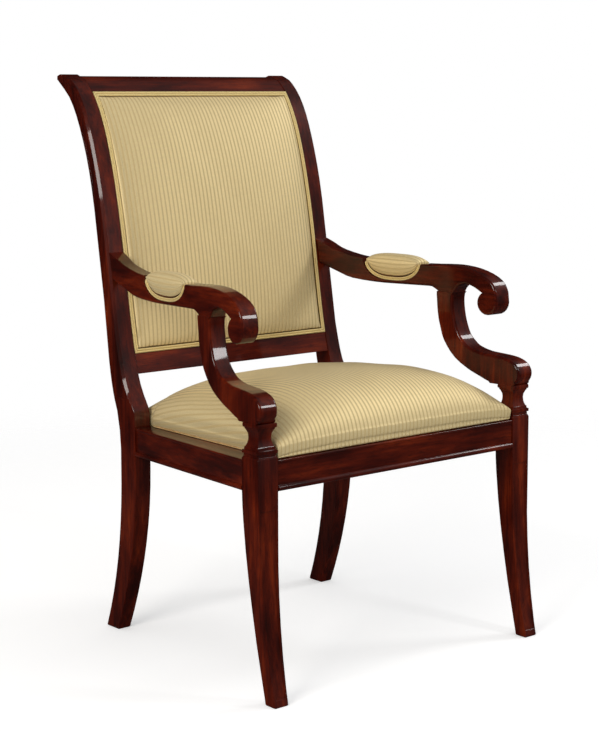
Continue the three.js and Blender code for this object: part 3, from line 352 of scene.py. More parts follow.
def turned_wood(node, material, width=EDGE_ROUND, rounded=None):
    """A wooden piece: the CAD solid with rounded edges and an even, hand-rubbed surface. Where a
    test of an edge's ends is given, only the edges that it takes are rounded."""
    piece = bpy.data.objects.new(f"{node}_wood", merged_copy(node, f"{node}_wood"))
    bpy.context.scene.collection.objects.link(piece)
    piece.data.materials.clear()
    piece.data.materials.append(material)
    piece.data.polygons.foreach_set("use_smooth", [True] * len(piece.data.polygons))
    bevel = piece.modifiers.new("rounded edges", "BEVEL")
    bevel.width = width
    bevel.segments = ROUND_STEPS
    bevel.limit_method = "ANGLE"
    bevel.angle_limit = EDGE_ANGLE
    if rounded:
        weigh_edges(piece.data, rounded)
        bevel.limit_method = "WEIGHT"
        bevel.use_clamp_overlap = False
    bevel.harden_normals = True
    bevel.miter_outer = "MITER_ARC"
    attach(piece, "root")
    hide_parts(node)


def on_scroll(ends):
    """True above the baluster and below the joint with the arm."""
    return ends[:, 2].min() > SCROLL_FOOT and ends[:, 2].max() < SCROLL_TOP - JOINT_DEPTH


def on_arm(ends):
    """True but for the edges beside the pad and those of the flat faces at support and post."""
    first, last, lowest = ends[:, 1].min(), ends[:, 1].max(), ends[:, 2].min()
    pad_start, pad_foot = PAD_WELT_LOW[1:] - PAD_MARGIN
    pad_end = PAD_WELT_HIGH[1] + PAD_MARGIN
    at_joint = last < pad_start and np.all(np.abs(ends[:, 2] - SCROLL_TOP) < LUG_HEIGHT)
    on_lug = at_joint and last - first > LUG_LENGTH
    beside_pad = first > pad_start and last < pad_end and lowest > pad_foot
    return not (on_lug or beside_pad or last > high("arm_left")[1] - JOINT_DEPTH)


for side, _ in SIDES:
    turned_wood(f"rear_post_{side}", MAHOGANY["upright"], LEG_ROUND)
    turned_wood(f"front_leg_{side}", MAHOGANY["upright"], LEG_ROUND)
    turned_wood(f"side_seat_rail_{side}", MAHOGANY["deep"], RAIL_ROUND)
    turned_wood(f"arm_{side}", MAHOGANY["deep"], ARM_ROUND, on_arm)
    turned_wood(f"arm_support_{side}", MAHOGANY["upright"], ARM_ROUND, on_scroll)
for rail in ("crest_rail", "lower_back_rail", "front_seat_rail"):
    turned_wood(rail, MAHOGANY["across"], RAIL_ROUND)
turned_wood("rear_seat_rail", MAHOGANY["across"])


# Grids
def grid_faces(rows, columns, joined_rows=False, joined_columns=False):
    """Quads of a grid whose points are listed row by row. A joined side meets its far end."""
    row = np.arange(rows if joined_rows else rows - 1)[:, None]
    column = np.arange(columns if joined_columns else columns - 1)[None, :]
    row_after, column_after = (row + 1) % rows, (column + 1) % columns
    corners = [
        row * columns + column,
        row * columns + column_after,
        row_after * columns + column_after,
        row_after * columns + column,
    ]
    return np.stack(corners, axis=-1).reshape(-1, 4)


def rim(rows, columns):
    """Places of a grid's outermost points, once round: first row, last column and back."""
    grid = np.arange(rows * columns).reshape(rows, columns)
    return np.concatenate([grid[0, :-1], grid[:-1, -1], grid[-1, :0:-1], grid[:0:-1, 0]])


def closed_form(face, levels, floor):
    """Quads of a closed form, and its points with their cloth coordinates in the last two places.

    It is a grid, the rings that run on from its rim, and a second grid that ends in the last
    ring. Where there is no ring the two grids share their rim.
    """
    rows, columns, values = face.shape
    loop = rim(rows, columns)
    size, ring = rows * columns, len(loop)
    inside = np.setdiff1d(np.arange(size), loop)
    rings = [loop, *(size + level * ring + np.arange(ring) for level in range(len(levels)))]
    floor_places = np.empty(size, np.int64)
    floor_places[loop] = rings[-1]
    floor_places[inside] = size + len(levels) * ring + np.arange(len(inside))
    bands = [
        np.stack([upper, lower, np.roll(lower, -1), np.roll(upper, -1)], axis=-1)
        for upper, lower in zip(rings[:-1], rings[1:])
    ]
    top = grid_faces(rows, columns)
    faces = np.concatenate([top, *bands, floor_places[top[:, ::-1]]])
    points = [face.reshape(-1, values), *levels, floor.reshape(-1, values)[inside]]
    return np.concatenate(points), faces, np.concatenate([rings[-1], floor_places[inside]])


def turned_out(points, faces):
    """The faces wound so that the volume that they close is positive."""
    a, b, c, d = (points[faces[:, corner]] for corner in range(4))
    volume = (a * (np.cross(b, c) + np.cross(c, d))).sum()
    return faces if volume > 0 else faces[:, ::-1]


def cloth_piece(name, points, faces, cloth, material):
    """A smooth mesh object from points, quads and the cloth coordinates of its points, in metres."""
    mesh = bpy.data.meshes.new(name)
    mesh.from_pydata(points.tolist(), [], turned_out(points, faces).tolist())
    layer = mesh.uv_layers.new(name=CLOTH_MAP)
    corner = np.empty(len(mesh.loops), np.int64)
    mesh.loops.foreach_get("vertex_index", corner)
    layer.data.foreach_set("uv", cloth[corner].astype(np.float32).ravel())
    mesh.polygons.foreach_set("use_smooth", np.ones(len(mesh.polygons), bool))
    mesh.materials.append(material)
    piece = bpy.data.objects.new(name, mesh)
    bpy.context.scene.collection.objects.link(piece)
    return piece


def finish_piece(piece, slot, *nodes):
    """Gives a made piece its body and hides the CAD nodes that it stands for. The slot is not used.
    """
    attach(piece, "root")
    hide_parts(*nodes)


def crown(across, along, power):
    """1 in the middle and 0 along the edges: the product of 1 - |place| ** power both ways."""
    return (1 - np.abs(across) ** power) * (1 - np.abs(along) ** power)


# Low hills of hand-laid stuffing: waves to a metre along X, Y and Z, and the turn of each
STUFFING_WAVES = ((7.3, 2.1, 3.9, 0.4), (-4.2, 8.6, 5.1, 1.9), (11.0, -6.4, 8.2, 3.3))


def stuffing_hills(points):
    """Soft unevenness between -1 and 1: the mean of three crossed sine waves."""
    turns = [np.sin(points @ np.array(wave[:3]) * math.tau + wave[3]) for wave in STUFFING_WAVES]
    return np.mean(turns, axis=0)


def cloth_lengths(face):
    """Cloth coordinates of a grid. Across, the mean of a point's X and its length along the row
    from the middle column; along, its length down the column from the first row."""
    steps_across = np.linalg.norm(np.diff(face, axis=1), axis=-1)
    across = np.concatenate([np.zeros((len(face), 1)), np.cumsum(steps_across, axis=1)], axis=1)
    across -= across[:, face.shape[1] // 2][:, None]
    steps_along = np.linalg.norm(np.diff(face, axis=0), axis=-1)
    along = np.concatenate([np.zeros((1, face.shape[1])), np.cumsum(steps_along, axis=0)], axis=0)
    return np.stack([(across + face[..., 0]) / 2, along], axis=-1)


BAND_STEPS = 4


def rounded_band(radius, slope, depth, draw_in, turn_under):
    """Levels of a band: an arc from the face's slope to upright, then a side that draws in
    towards its foot, and a short turn under it. Each is (outwards, down) from the face's rim."""
    angle = np.linspace(slope, math.pi / 2, BAND_STEPS + 1)[1:]
    out = radius * (np.sin(angle) - math.sin(slope))
    drop = radius * (math.cos(slope) - np.cos(angle))
    side = np.linspace(0, 1, BAND_STEPS + 1)[1:]
    straight = depth - drop[-1]
    levels = list(zip(out, drop))
    levels += [(out[-1] - draw_in * share**2, drop[-1] + straight * share) for share in side]
    return [*levels, (out[-1] - draw_in - turn_under, depth)]


def boxed_pad(name, face, floor, lengthways, down, profile):
    """A stuffed form: a crowned face, a band round it and a flat floor. A level of the band goes
    out along X or lengthways, whichever leads away from its side of the rim, and down."""
    rows, columns = face.shape[:2]
    loop = rim(rows, columns)
    row, column = np.divmod(loop, columns)
    turn_across = (column == columns - 1).astype(float) - (column == 0)
    turn_along = (row == rows - 1).astype(float) - (row == 0)
    turn = np.stack([turn_across, turn_along], axis=-1)
    away = np.broadcast_to(lengthways, face.shape).reshape(-1, 3)[loop]
    away = turn[:, :1] * np.array([1.0, 0, 0]) + turn[:, 1:] * away
    cloth = cloth_lengths(face)
    both = np.concatenate([face, cloth], axis=-1)
    edge = both.reshape(-1, 5)[loop]
    steps = np.hypot(*np.diff(np.array([(0.0, 0.0), *profile]), axis=0).T)
    levels = [
        edge + np.concatenate([out * away + drop * down, length * turn], axis=-1)
        for (out, drop), length in zip(profile, np.cumsum(steps))
    ]
    points, faces, sewn = closed_form(both, levels, np.concatenate([floor, cloth], axis=-1))
    return cloth_piece(name, points[:, :3], faces, points[:, 3:], SATIN), sewn


SETTLE_FRAMES = 14
LEAST_STEP = 1e-9  # keeps a still point's step from being divided by zero


def settle(piece, sewn, pressure, cap):
    """Simulates the cover as cloth blown gently from inside and held along its sewn points.

    Each point then stays within the cap of where it began, and the result is the piece's mesh.
    """
    piece.vertex_groups.new(name="sewn").add(sewn.tolist(), 1.0, "REPLACE")
    cloth = piece.modifiers.new("cloth", "CLOTH")
    cloth.settings.quality = 6
    cloth.settings.mass = 0.25
    cloth.settings.tension_stiffness = 12
    cloth.settings.compression_stiffness = 12
    cloth.settings.bending_stiffness = 1.5
    cloth.settings.use_pressure = True
    cloth.settings.uniform_pressure_force = pressure
    cloth.settings.vertex_group_mass = "sewn"
    cloth.settings.effector_weights.gravity = 0
    cloth.point_cache.frame_end = SETTLE_FRAMES
    scene = bpy.context.scene
    for frame_number in range(1, SETTLE_FRAMES + 1):
        scene.frame_set(frame_number)
    start = np.empty(len(piece.data.vertices) * 3)
    moved = np.empty_like(start)
    piece.data.vertices.foreach_get("co", start)
    shaped = piece.evaluated_get(bpy.context.evaluated_depsgraph_get()).data
    shaped.vertices.foreach_get("co", moved)
    step = (moved - start).reshape(-1, 3)
    length = np.linalg.norm(step, axis=1, keepdims=True)
    held = cap * np.tanh(length / cap) / np.maximum(length, LEAST_STEP)
    piece.modifiers.remove(cloth)
    piece.vertex_groups.clear()
    piece.data.vertices.foreach_set("co", (start.reshape(-1, 3) + step * held).ravel())
    piece.data.update()
    scene.frame_set(1)


def smoothed(piece):
    """Subdivides a made piece once, the same in the view and in the render."""
    finer = piece.modifiers.new("finer", "SUBSURF")
    finer.levels = finer.render_levels = 1
    return piece


CROWDING_POWER = 1.5


def crowded_start(first, last, count):
    """Places between two ends that stand closer together near the first."""
    return first + (last - first) * np.linspace(0, 1, count) ** CROWDING_POWER


def spread(count, ease):
    """Places from -1 to 1 that stand closer together towards both ends: the sines of even steps
    of an angle up to the ease, in radians."""
    places = np.sin(np.linspace(-1, 1, count) * ease)
    return places / places.max()


# Seat
# It is a crowned pad on the rails' plane, level with the front rail and falling to the rear one.
# It fills the space between the front legs, narrows backwards and steps in between the posts.
SEAT_FALL = (RAIL_TOP_FRONT - RAIL_TOP_REAR) / (high("rear_seat_rail")[1] - LEG_BACK)
SEAT_CLEARANCE = 1 * MM
SEAT_STEP_RUN, SEAT_STEP = 9 * MM, 5.5 * MM
SEAT_LIFT, SEAT_BAND = 1 * MM, 18 * MM
SEAT_DRAW_IN, SEAT_TURN_UNDER = 2.5 * MM, 2 * MM
SEAT_CROWN, SEAT_CROWN_POWER = 80 * MM, 3.4
SEAT_FULLNESS, SEAT_LEAN = 0.6, 0.155
SEAT_HILLS = 0.9 * MM
SEAT_EDGE_ROUND, SEAT_EDGE_SLOPE = 5 * MM, math.radians(45)
SEAT_COLUMNS, SEAT_ROWS, SEAT_STEP_ROWS, SEAT_REAR_ROWS = 81, 62, 4, 12
SEAT_EASE = 1.5
SEAT_PRESSURE, SEAT_CAP = 0.6, 2.5 * MM


def seat_half(y):
    """Half the seat's width: even between the front legs, narrowing to the posts, then a step."""
    notch = POST_FRONT - SEAT_CLEARANCE
    narrow = POST_INNER - SEAT_CLEARANCE
    places = [LEG_BACK, notch - SEAT_STEP_RUN, notch]
    return np.interp(y, places, [SEAT_HIGH[0], narrow + SEAT_STEP, narrow])


def rail_plane(y):
    """Height of the rails' tops: level with the front rail, falling evenly to the rear one."""
    return RAIL_TOP_FRONT - SEAT_FALL * (y - LEG_BACK)


def edge_inset(radius, slope):
    """How far a rounded edge reaches past the face's rim, and how far it drops below it."""
    return radius * (1 - math.sin(slope)), radius * (1 - math.cos(slope))


def seat_pad():
    """The domed seat: the rails' plane, the band and a crown with the stuffing's low hills. The
    crown is its product of powers to the power of its fullness, and it leans forwards by a share
    of the place along the seat. Across and along run from -1 to 1."""
    inset, lowered = edge_inset(SEAT_EDGE_ROUND, SEAT_EDGE_SLOPE)
    notch = POST_FRONT - SEAT_CLEARANCE
    stretches = [
        crowded_start(SEAT_LOW[1] + inset, notch - SEAT_STEP_RUN, SEAT_ROWS)[:-1],
        np.linspace(notch - SEAT_STEP_RUN, notch, SEAT_STEP_ROWS, endpoint=False),
        crowded_start(SEAT_HIGH[1] - inset, notch, SEAT_REAR_ROWS)[::-1],
    ]
    y = np.concatenate(stretches)[:, None]
    across = spread(SEAT_COLUMNS, SEAT_EASE)[None, :]
    along = 2 * (y - SEAT_LOW[1]) / (SEAT_HIGH[1] - SEAT_LOW[1]) - 1
    x = across * (seat_half(y) - inset)
    rise = crown(across, along, SEAT_CROWN_POWER) ** SEAT_FULLNESS * (1 - SEAT_LEAN * along)
    flat = np.stack(np.broadcast_arrays(x, y, rail_plane(y)), axis=-1)
    height = SEAT_LIFT + SEAT_BAND - lowered + SEAT_CROWN * rise
    height += stuffing_hills(flat) * SEAT_HILLS * np.sqrt(rise)
    face = flat + height[..., None] * np.array([0, 0, 1.0])
    floor = flat + np.array([0, 0, SEAT_LIFT])
    profile = rounded_band(
        SEAT_EDGE_ROUND, SEAT_EDGE_SLOPE, SEAT_BAND - lowered, SEAT_DRAW_IN, SEAT_TURN_UNDER
    )
    piece, sewn = boxed_pad(
        "seat_upholstery", face, floor, np.array([0, 1.0, 0]), np.array([0, 0, -1.0]), profile
    )
    settle(piece, sewn, SEAT_PRESSURE, SEAT_CAP)
    smoothed(piece)
    finish_piece(piece, "striped_satin", "seat_cover", "seat_foam")


seat_pad()


# Back
# Its layers follow the stiles, whose front and rear faces are smooth curves up the back.
BOARD_INSET = 10 * MM
BACK_PROUD, BACK_DEPTH = 1 * MM, 10 * MM
BACK_CROWN, BACK_CROWN_POWER, BACK_FULLNESS = 18 * MM, 3.2, 0.7
BACK_HILLS = 0.9 * MM
BACK_EDGE_ROUND, BACK_EDGE_SLOPE = 3.5 * MM, math.radians(40)
BACK_DRAW_IN, BACK_TURN_UNDER = 0.5 * MM, 1 * MM
BACK_COLUMNS, BACK_ROWS = 61, 75
BACK_EASE = 1.4
BACK_PRESSURE, BACK_CAP = 0.5, 2 * MM
OUTSIDE_CROWN, OUTSIDE_HILLS, OUTSIDE_DEPTH = 0.8 * MM, 0.2 * MM, 2.6 * MM
CURVE_DEGREE = 6
LEVEL_DIGITS, LEVEL_REACH = 5, 0.02 * MM  # points this close in height lie on one level


def face_curve(node, side, offset):
    """Depth of a curved face at a height: a polynomial through the front or rear face of a CAD
    solid, for side -1 or 1, moved by offset."""
    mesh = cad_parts[node].data
    points = np.empty(len(mesh.vertices) * 3)
    mesh.vertices.foreach_get("co", points)
    points = points.reshape(-1, 3)
    heights = np.unique(np.round(points[:, 2], LEVEL_DIGITS))
    level = np.abs(points[:, 2][None, :] - heights[:, None]) < LEVEL_REACH
    depths = side * np.where(level, side * points[:, 1][None, :], -np.inf).max(axis=1)
    middle, half = heights.mean(), np.ptp(heights) / 2
    curve = np.polynomial.Polynomial.fit((heights - middle) / half, depths, CURVE_DEGREE)
    return lambda z: curve((z - middle) / half) + offset


stile_front = face_curve("back_board", -1, -BOARD_INSET)
outside_face = face_curve("outside_back", 1, 0)


def back_pad(name, face_at, side, crown_height, hills, depth):
    """An upright pad between the stiles: their curve, moved towards side by the crown's product
    of powers to the power of its fullness, and by the stuffing's low hills."""
    inset, lowered = edge_inset(BACK_EDGE_ROUND, BACK_EDGE_SLOPE)
    z = np.linspace(BACK_LOW[2] + inset, BACK_HIGH[2] - inset, BACK_ROWS)[:, None]
    across = spread(BACK_COLUMNS, BACK_EASE)[None, :]
    along = 2 * (z - BACK_LOW[2]) / (BACK_HIGH[2] - BACK_LOW[2]) - 1
    rise = crown(across, along, BACK_CROWN_POWER) ** BACK_FULLNESS
    x = across * (BACK_HIGH[0] - inset)
    flat = np.stack(np.broadcast_arrays(x, face_at(z), z), axis=-1)
    proud = crown_height * rise + stuffing_hills(flat) * hills * np.sqrt(rise) - lowered
    outwards = np.array([0, float(side), 0])
    face = flat + proud[..., None] * outwards
    slope = np.gradient(face_at(z)[:, 0], z[:, 0])[:, None, None]
    lengthways = np.concatenate([0 * slope, slope, 1 + 0 * slope], axis=-1)
    profile = rounded_band(
        BACK_EDGE_ROUND, BACK_EDGE_SLOPE, depth - lowered, BACK_DRAW_IN, BACK_TURN_UNDER
    )
    return boxed_pad(name, face, flat - depth * outwards, lengthways, -outwards, profile)


back, back_sewn = back_pad(
    "back_upholstery", lambda z: stile_front(z) - BACK_PROUD, -1, BACK_CROWN, BACK_HILLS, BACK_DEPTH
)
settle(back, back_sewn, BACK_PRESSURE, BACK_CAP)
smoothed(back)
finish_piece(back, "striped_satin", "back_cover", "back_foam")
outside, _ = back_pad(
    "outside_back_cloth", outside_face, 1, OUTSIDE_CROWN, OUTSIDE_HILLS, OUTSIDE_DEPTH
)
smoothed(outside)
finish_piece(outside, "striped_satin", "outside_back")


# Double welts
# Two cords side by side, each covered in satin cut on the bias, so its stripes wind round it.
CORD_SIDES = 12
BACK_WELT_RADIUS = 1.9 * MM
WELT_CLEARANCE = 0.3 * MM
WELT_STEP = 5 * MM  # between the rings of points along a cord


def double_welt(name, path, sideways, upwards, radius, node):
    """Two tubes along a closed path. A point of a tube is the path's point moved sideways by the
    cord's offset plus radius times a cosine, and upwards by radius times the sine."""
    gaps = np.linalg.norm(np.roll(path, -1, axis=0) - path, axis=1)
    run = np.concatenate([[0], np.cumsum(gaps)[:-1]])[:, None]
    angle = np.linspace(0, math.tau, CORD_SIDES, endpoint=False)[None, :]
    along = run + 0 * angle
    points, faces, cloth = [], [], []
    for place, offset in enumerate((-radius, radius)):
        out = (offset + radius * np.cos(angle))[..., None] * sideways[:, None]
        tube = path[:, None] + out + (radius * np.sin(angle))[..., None] * upwards[:, None]
        points.append(tube.reshape(-1, 3))
        ring_faces = grid_faces(len(path), CORD_SIDES, True, True)
        faces.append(turned_out(points[-1], ring_faces) + place * tube[..., 0].size)
        cloth.append(np.stack([along + radius * angle, along], axis=-1).reshape(-1, 2))
    points, faces, cloth = (np.concatenate(part) for part in (points, faces, cloth))
    piece = cloth_piece(name, points, faces, cloth, WELT_SATIN)
    finish_piece(piece, "striped_satin", node)


def back_welt(name, face_at, side, node):
    """The welt round a face of the back: up one stile, along the crest, down and along the rail,
    half its width inside the frame. Its corners are mitred."""
    half_width = 2 * BACK_WELT_RADIUS
    right = POST_INNER - WELT_CLEARANCE - half_width
    bottom, top = low("back_board")[2] + half_width, high("back_board")[2] - half_width
    z = np.linspace(bottom, top, round((top - bottom) / WELT_STEP))
    x = np.linspace(-right, right, round(2 * right / WELT_STEP))[1:-1]
    path_x = np.concatenate([0 * z + right, x[::-1], 0 * z - right, x])
    path_z = np.concatenate([z, 0 * x + top, z[::-1], 0 * x + bottom])
    out_x = np.where(np.isclose(np.abs(path_x), right), np.sign(path_x), 0)
    out_z = np.isclose(path_z, top).astype(float) - np.isclose(path_z, bottom)
    slope = (face_at(path_z + MM) - face_at(path_z - MM)) / (2 * MM)
    path = np.stack([path_x, face_at(path_z), path_z], axis=-1)
    sideways = np.stack([out_x, slope * out_z, out_z], axis=-1)
    upwards = np.stack([0 * slope, side + 0 * slope, -side * slope], axis=-1)
    upwards /= np.linalg.norm(upwards, axis=1, keepdims=True)
    double_welt(name, path, sideways, upwards, BACK_WELT_RADIUS, node)


back_welt("back_double_welt", stile_front, -1, "back_welt")
back_welt("outside_double_welt", outside_face, 1, "outside_back_welt")


# Arm pads
# The arm's middle runs straight from over the front leg to the post, and narrows towards it. A
# pad sits astride the arm. Its lower edge, seen from the side, is half of a superellipse.
ARM_TOP, ARM_LENGTH = 652 * MM, 432 * MM
ARM_FRONT_WIDTH, ARM_REAR_WIDTH = 36 * MM, 29 * MM
ARM_NOSE = low("arm_left")[1]
PAD_FRONT, PAD_BACK = PAD_WELT_LOW[1] - WELT_CLEARANCE, PAD_WELT_HIGH[1] + WELT_CLEARANCE
PAD_MIDDLE, PAD_HALF_LENGTH = (PAD_FRONT + PAD_BACK) / 2, (PAD_BACK - PAD_FRONT) / 2
PAD_DEPTH, PAD_CROWN, PAD_CROWN_POWER = 38 * MM, 9.5 * MM, 3
PAD_SWELL, PAD_SWELL_POWER = 3 * MM, 4
PAD_TUCK, PAD_TUCK_POWER = 6 * MM, 4
PAD_EDGE_POWER, PAD_ROUND_POWER = 2.6, 0.62
PAD_REBATE, PAD_TOP_REBATE, PAD_BED_LIFT = 4 * MM, 7 * MM, 0.5 * MM
PAD_COLUMNS, PAD_ROWS, PAD_EASE = 41, 49, 1.5
PAD_WELT_RADIUS = 1.7 * MM
PAD_WELT_INSET = WELT_CLEARANCE + 2 * PAD_WELT_RADIUS
FLANK_POINTS, TURN_POINTS, TURN_POWER = 41, 20, 0.5


def leg_middle(node):
    """Place along X of the middle of a leg or post."""
    return (low(node)[0] + high(node)[0]) / 2


def arm_middle(y):
    """Distance of the arm's middle from the chair's: a straight line from leg to post."""
    front = (LEG_FRONT + LEG_BACK) / 2
    share = (y - front) / (ARM_NOSE + ARM_LENGTH - front)
    at_leg, at_post = -leg_middle("front_leg_left"), -leg_middle("rear_post_left")
    return at_leg + (at_post - at_leg) * share


def arm_half(y):
    """Half the arm's width, which narrows evenly from the volute to the post."""
    return (ARM_FRONT_WIDTH + (ARM_REAR_WIDTH - ARM_FRONT_WIDTH) * (y - ARM_NOSE) / ARM_LENGTH) / 2


def signed_power(value, power):
    """A power of a number's size, with the number's sign."""
    return np.sign(value) * np.abs(value) ** power


def pad_edge(y, inset):
    """Height of the lower edge: the arm's top less the root of 1 - |share| ** power."""
    share = np.clip(np.abs(y - PAD_MIDDLE) / (PAD_HALF_LENGTH - inset), 0, 1)
    return ARM_TOP - (PAD_DEPTH - inset) * np.sqrt(1 - share**PAD_EDGE_POWER)


def pad_point(angle):
    """Place (y, z) at an angle round the middle line of the welt's superellipse, from 0 at its
    front end to half a turn at its rear end."""
    y = PAD_MIDDLE - (PAD_HALF_LENGTH - PAD_WELT_INSET) * signed_power(
        np.cos(angle), 2 / PAD_EDGE_POWER
    )
    return y, ARM_TOP - (PAD_DEPTH - PAD_WELT_INSET) * np.sin(angle)


def arch(side, y, half, foot, top, tuck=0):
    """Arches across the arm: across is a signed power of a cosine and up a power of the sine.
    Their feet draw in by the tuck, less a power of the share of the height."""
    angle = np.linspace(0, math.pi, PAD_COLUMNS)[None, :]
    up = np.sin(angle) ** PAD_ROUND_POWER
    drawn = half - tuck * (1 - up) ** PAD_TUCK_POWER
    x = side * arm_middle(y) + drawn * signed_power(np.cos(angle), PAD_ROUND_POWER)
    return np.stack(np.broadcast_arrays(x, y, foot + (top - foot) * up), axis=-1)


def arm_pad(side_name, side):
    """A pad of two sheets of arches that share their rim: the stuffed cover over the arm and the
    underside that lies on it."""
    half_length = PAD_HALF_LENGTH - 2 * PAD_WELT_INSET
    share = spread(PAD_ROWS, PAD_EASE)[:, None]
    y = PAD_MIDDLE + half_length * share
    foot = pad_edge(y, 2 * PAD_WELT_INSET)
    swell = 1 - np.abs(share) ** PAD_SWELL_POWER
    bulge = np.sqrt(1 - np.abs(share) ** PAD_CROWN_POWER)
    top = ARM_TOP - PAD_WELT_RADIUS + (PAD_CROWN + 2 * PAD_WELT_RADIUS) * bulge
    half = arm_half(y) + PAD_SWELL * swell
    outer = arch(side, y, half, np.minimum(foot, top), top, PAD_TUCK)
    bed = ARM_TOP - PAD_TOP_REBATE + PAD_BED_LIFT
    inner = arch(side, y, arm_half(y) - PAD_REBATE, np.minimum(foot, bed), bed)
    lengths = np.linalg.norm(np.diff(outer, axis=1), axis=-1)
    widest = np.concatenate([[0], np.cumsum(lengths[len(lengths) // 2])])
    across = (widest - widest[-1] / 2)[None, :] + 0 * y
    cloth = np.stack([across, y + 0 * across], axis=-1)
    points, faces, _ = closed_form(
        np.concatenate([outer, cloth], axis=-1), [], np.concatenate([inner, cloth], axis=-1)
    )
    piece = cloth_piece(f"arm_pad_{side_name}", points[:, :3], faces, points[:, 3:], SATIN)
    smoothed(piece)
    finish_piece(piece, "striped_satin", f"arm_pad_cover_{side_name}", f"arm_pad_foam_{side_name}")


def arm_pad_welt(side_name, side):
    """The welt round a pad: down one flank of the arm along the superellipse and up again, over
    the arm behind the pad, down and up the other flank, and over the arm in front of it."""
    top = ARM_TOP - PAD_TOP_REBATE + WELT_CLEARANCE
    lowered = top - 4 * PAD_WELT_RADIUS  # a double welt is four radii wide
    first = math.asin((ARM_TOP - lowered) / (PAD_DEPTH - PAD_WELT_INSET))
    angle = np.linspace(first, math.pi - first, FLANK_POINTS)
    y, z = pad_point(angle)
    bed = arm_half(y) - PAD_REBATE + WELT_CLEARANCE
    flank = np.stack([bed, y, z], axis=-1)
    flank_out = np.broadcast_to([1.0, 0, 0], flank.shape)
    turn = np.linspace(0, math.pi, TURN_POINTS)[1:-1]
    over_z = lowered + (top - lowered) * np.sin(turn) ** TURN_POWER
    end = np.arcsin((ARM_TOP - over_z) / (PAD_DEPTH - PAD_WELT_INSET))
    rear_y, front_y = pad_point(math.pi - end)[0], pad_point(end)[0]
    across = signed_power(np.cos(turn), TURN_POWER)
    over_out = np.stack([np.cos(turn), 0 * turn, np.sin(turn)], axis=-1)
    rear = np.stack([(arm_half(rear_y) - PAD_REBATE) * across, rear_y, over_z], axis=-1)
    front = np.stack([(arm_half(front_y) - PAD_REBATE) * across, front_y, over_z], axis=-1)
    mirror = np.array([-1.0, 1, 1])
    path = np.concatenate([flank, rear, flank[::-1] * mirror, front[::-1]])
    out = np.concatenate([flank_out, over_out, -flank_out, over_out[::-1]])
    tangent = np.roll(path, -1, axis=0) - np.roll(path, 1, axis=0)
    sideways = np.cross(tangent, out)
    sideways /= np.linalg.norm(sideways, axis=1, keepdims=True)
    path[:, 0] += side * arm_middle(path[:, 1])
    double_welt(
        f"arm_pad_double_welt_{side_name}", path + WELT_CLEARANCE * out, sideways, out,
        PAD_WELT_RADIUS, f"arm_pad_welt_{side_name}",
    )


for side_name, side in SIDES:
    arm_pad(side_name, side)
    arm_pad_welt(side_name, side)


# Underside
# The black cambric is tacked to the seat board inside the rails and hangs a little between them.
CAMBRIC_DROP, CAMBRIC_SAG = 0.7 * MM, 5 * MM
CAMBRIC_THICKNESS, CAMBRIC_CLEARANCE = 0.4 * MM, 0.6 * MM
CAMBRIC_GRID = 40


def dust_cover():
    """A sheet between straight edges: the rails' plane less a sag that is the crown's product
    of squares."""
    lowest, highest = low("seat_dust_cover"), high("seat_dust_cover")
    y = np.linspace(lowest[1], highest[1], CAMBRIC_GRID)[:, None]
    across = np.linspace(-1, 1, CAMBRIC_GRID)[None, :]
    along = 2 * (y - lowest[1]) / (highest[1] - lowest[1]) - 1
    half = np.minimum(highest[0], seat_half(y) - CAMBRIC_CLEARANCE)
    x = across * half
    z = rail_plane(y) - CAMBRIC_DROP - CAMBRIC_SAG * crown(across, along, 2)
    flat = np.stack(np.broadcast_arrays(x, y, z), axis=-1)
    piece = cloth_piece(
        "seat_dust_cloth", flat.reshape(-1, 3), grid_faces(CAMBRIC_GRID, CAMBRIC_GRID),
        flat[..., :2].reshape(-1, 2), CAMBRIC,
    )
    thick = piece.modifiers.new("thickness", "SOLIDIFY")
    thick.thickness = CAMBRIC_THICKNESS
    finish_piece(piece, "cambric", "seat_dust_cover")


dust_cover()


# Inner pieces that keep their solids: what each is made of and how its names begin
CARRIED = (
    (BEECH, ("corner_block", "seat_board", "back_board", "arm_dowel", "support_dowel")),
    (JUTE, ("seat_webbing",)),
    (STEEL, ("front_rail_screw", "rear_rail_screw", "side_rail_screw", "seat_screw")),
)
for stuff, starts in CARRIED:
    for node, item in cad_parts.items():
        if node.startswith(starts):
            for slot in item.material_slots:
                slot.material = stuff


# Lights, floor and camera
FLOOR_CENTRE, FADE_START, FLOOR_RADIUS = 0.02, 1.3, 2.4  # innermost ring, start of fading, rim
FLOOR_RINGS, FLOOR_SPOKES = 12, 96
FLOOR_PAINT, FLOOR_TO_THE_EYE, FLOOR_IN_LACQUER = "#c8c6c2", "#e7e7e7", "#464645"
FLOOR_GLOW = 0.38  # added to the eye only, as a white backdrop is lit on its own


def studio_floor():
    """A round pale floor: rings of points about the origin. It fades out towards its rim."""
    radius = np.linspace(FLOOR_CENTRE, FLOOR_RADIUS, FLOOR_RINGS)[:, None]
    angle = np.linspace(0, math.tau, FLOOR_SPOKES, endpoint=False)[None, :]
    points = np.stack([radius * np.cos(angle), radius * np.sin(angle), 0 * radius * angle], axis=-1)
    faces = grid_faces(FLOOR_RINGS, FLOOR_SPOKES, joined_columns=True).tolist()
    faces.append(list(range(FLOOR_SPOKES)))
    mesh = bpy.data.meshes.new("floor")
    mesh.from_pydata(points.reshape(-1, 3).tolist(), [], faces)
    floor = bpy.data.objects.new("floor", mesh)
    bpy.context.scene.collection.objects.link(floor)
    return floor


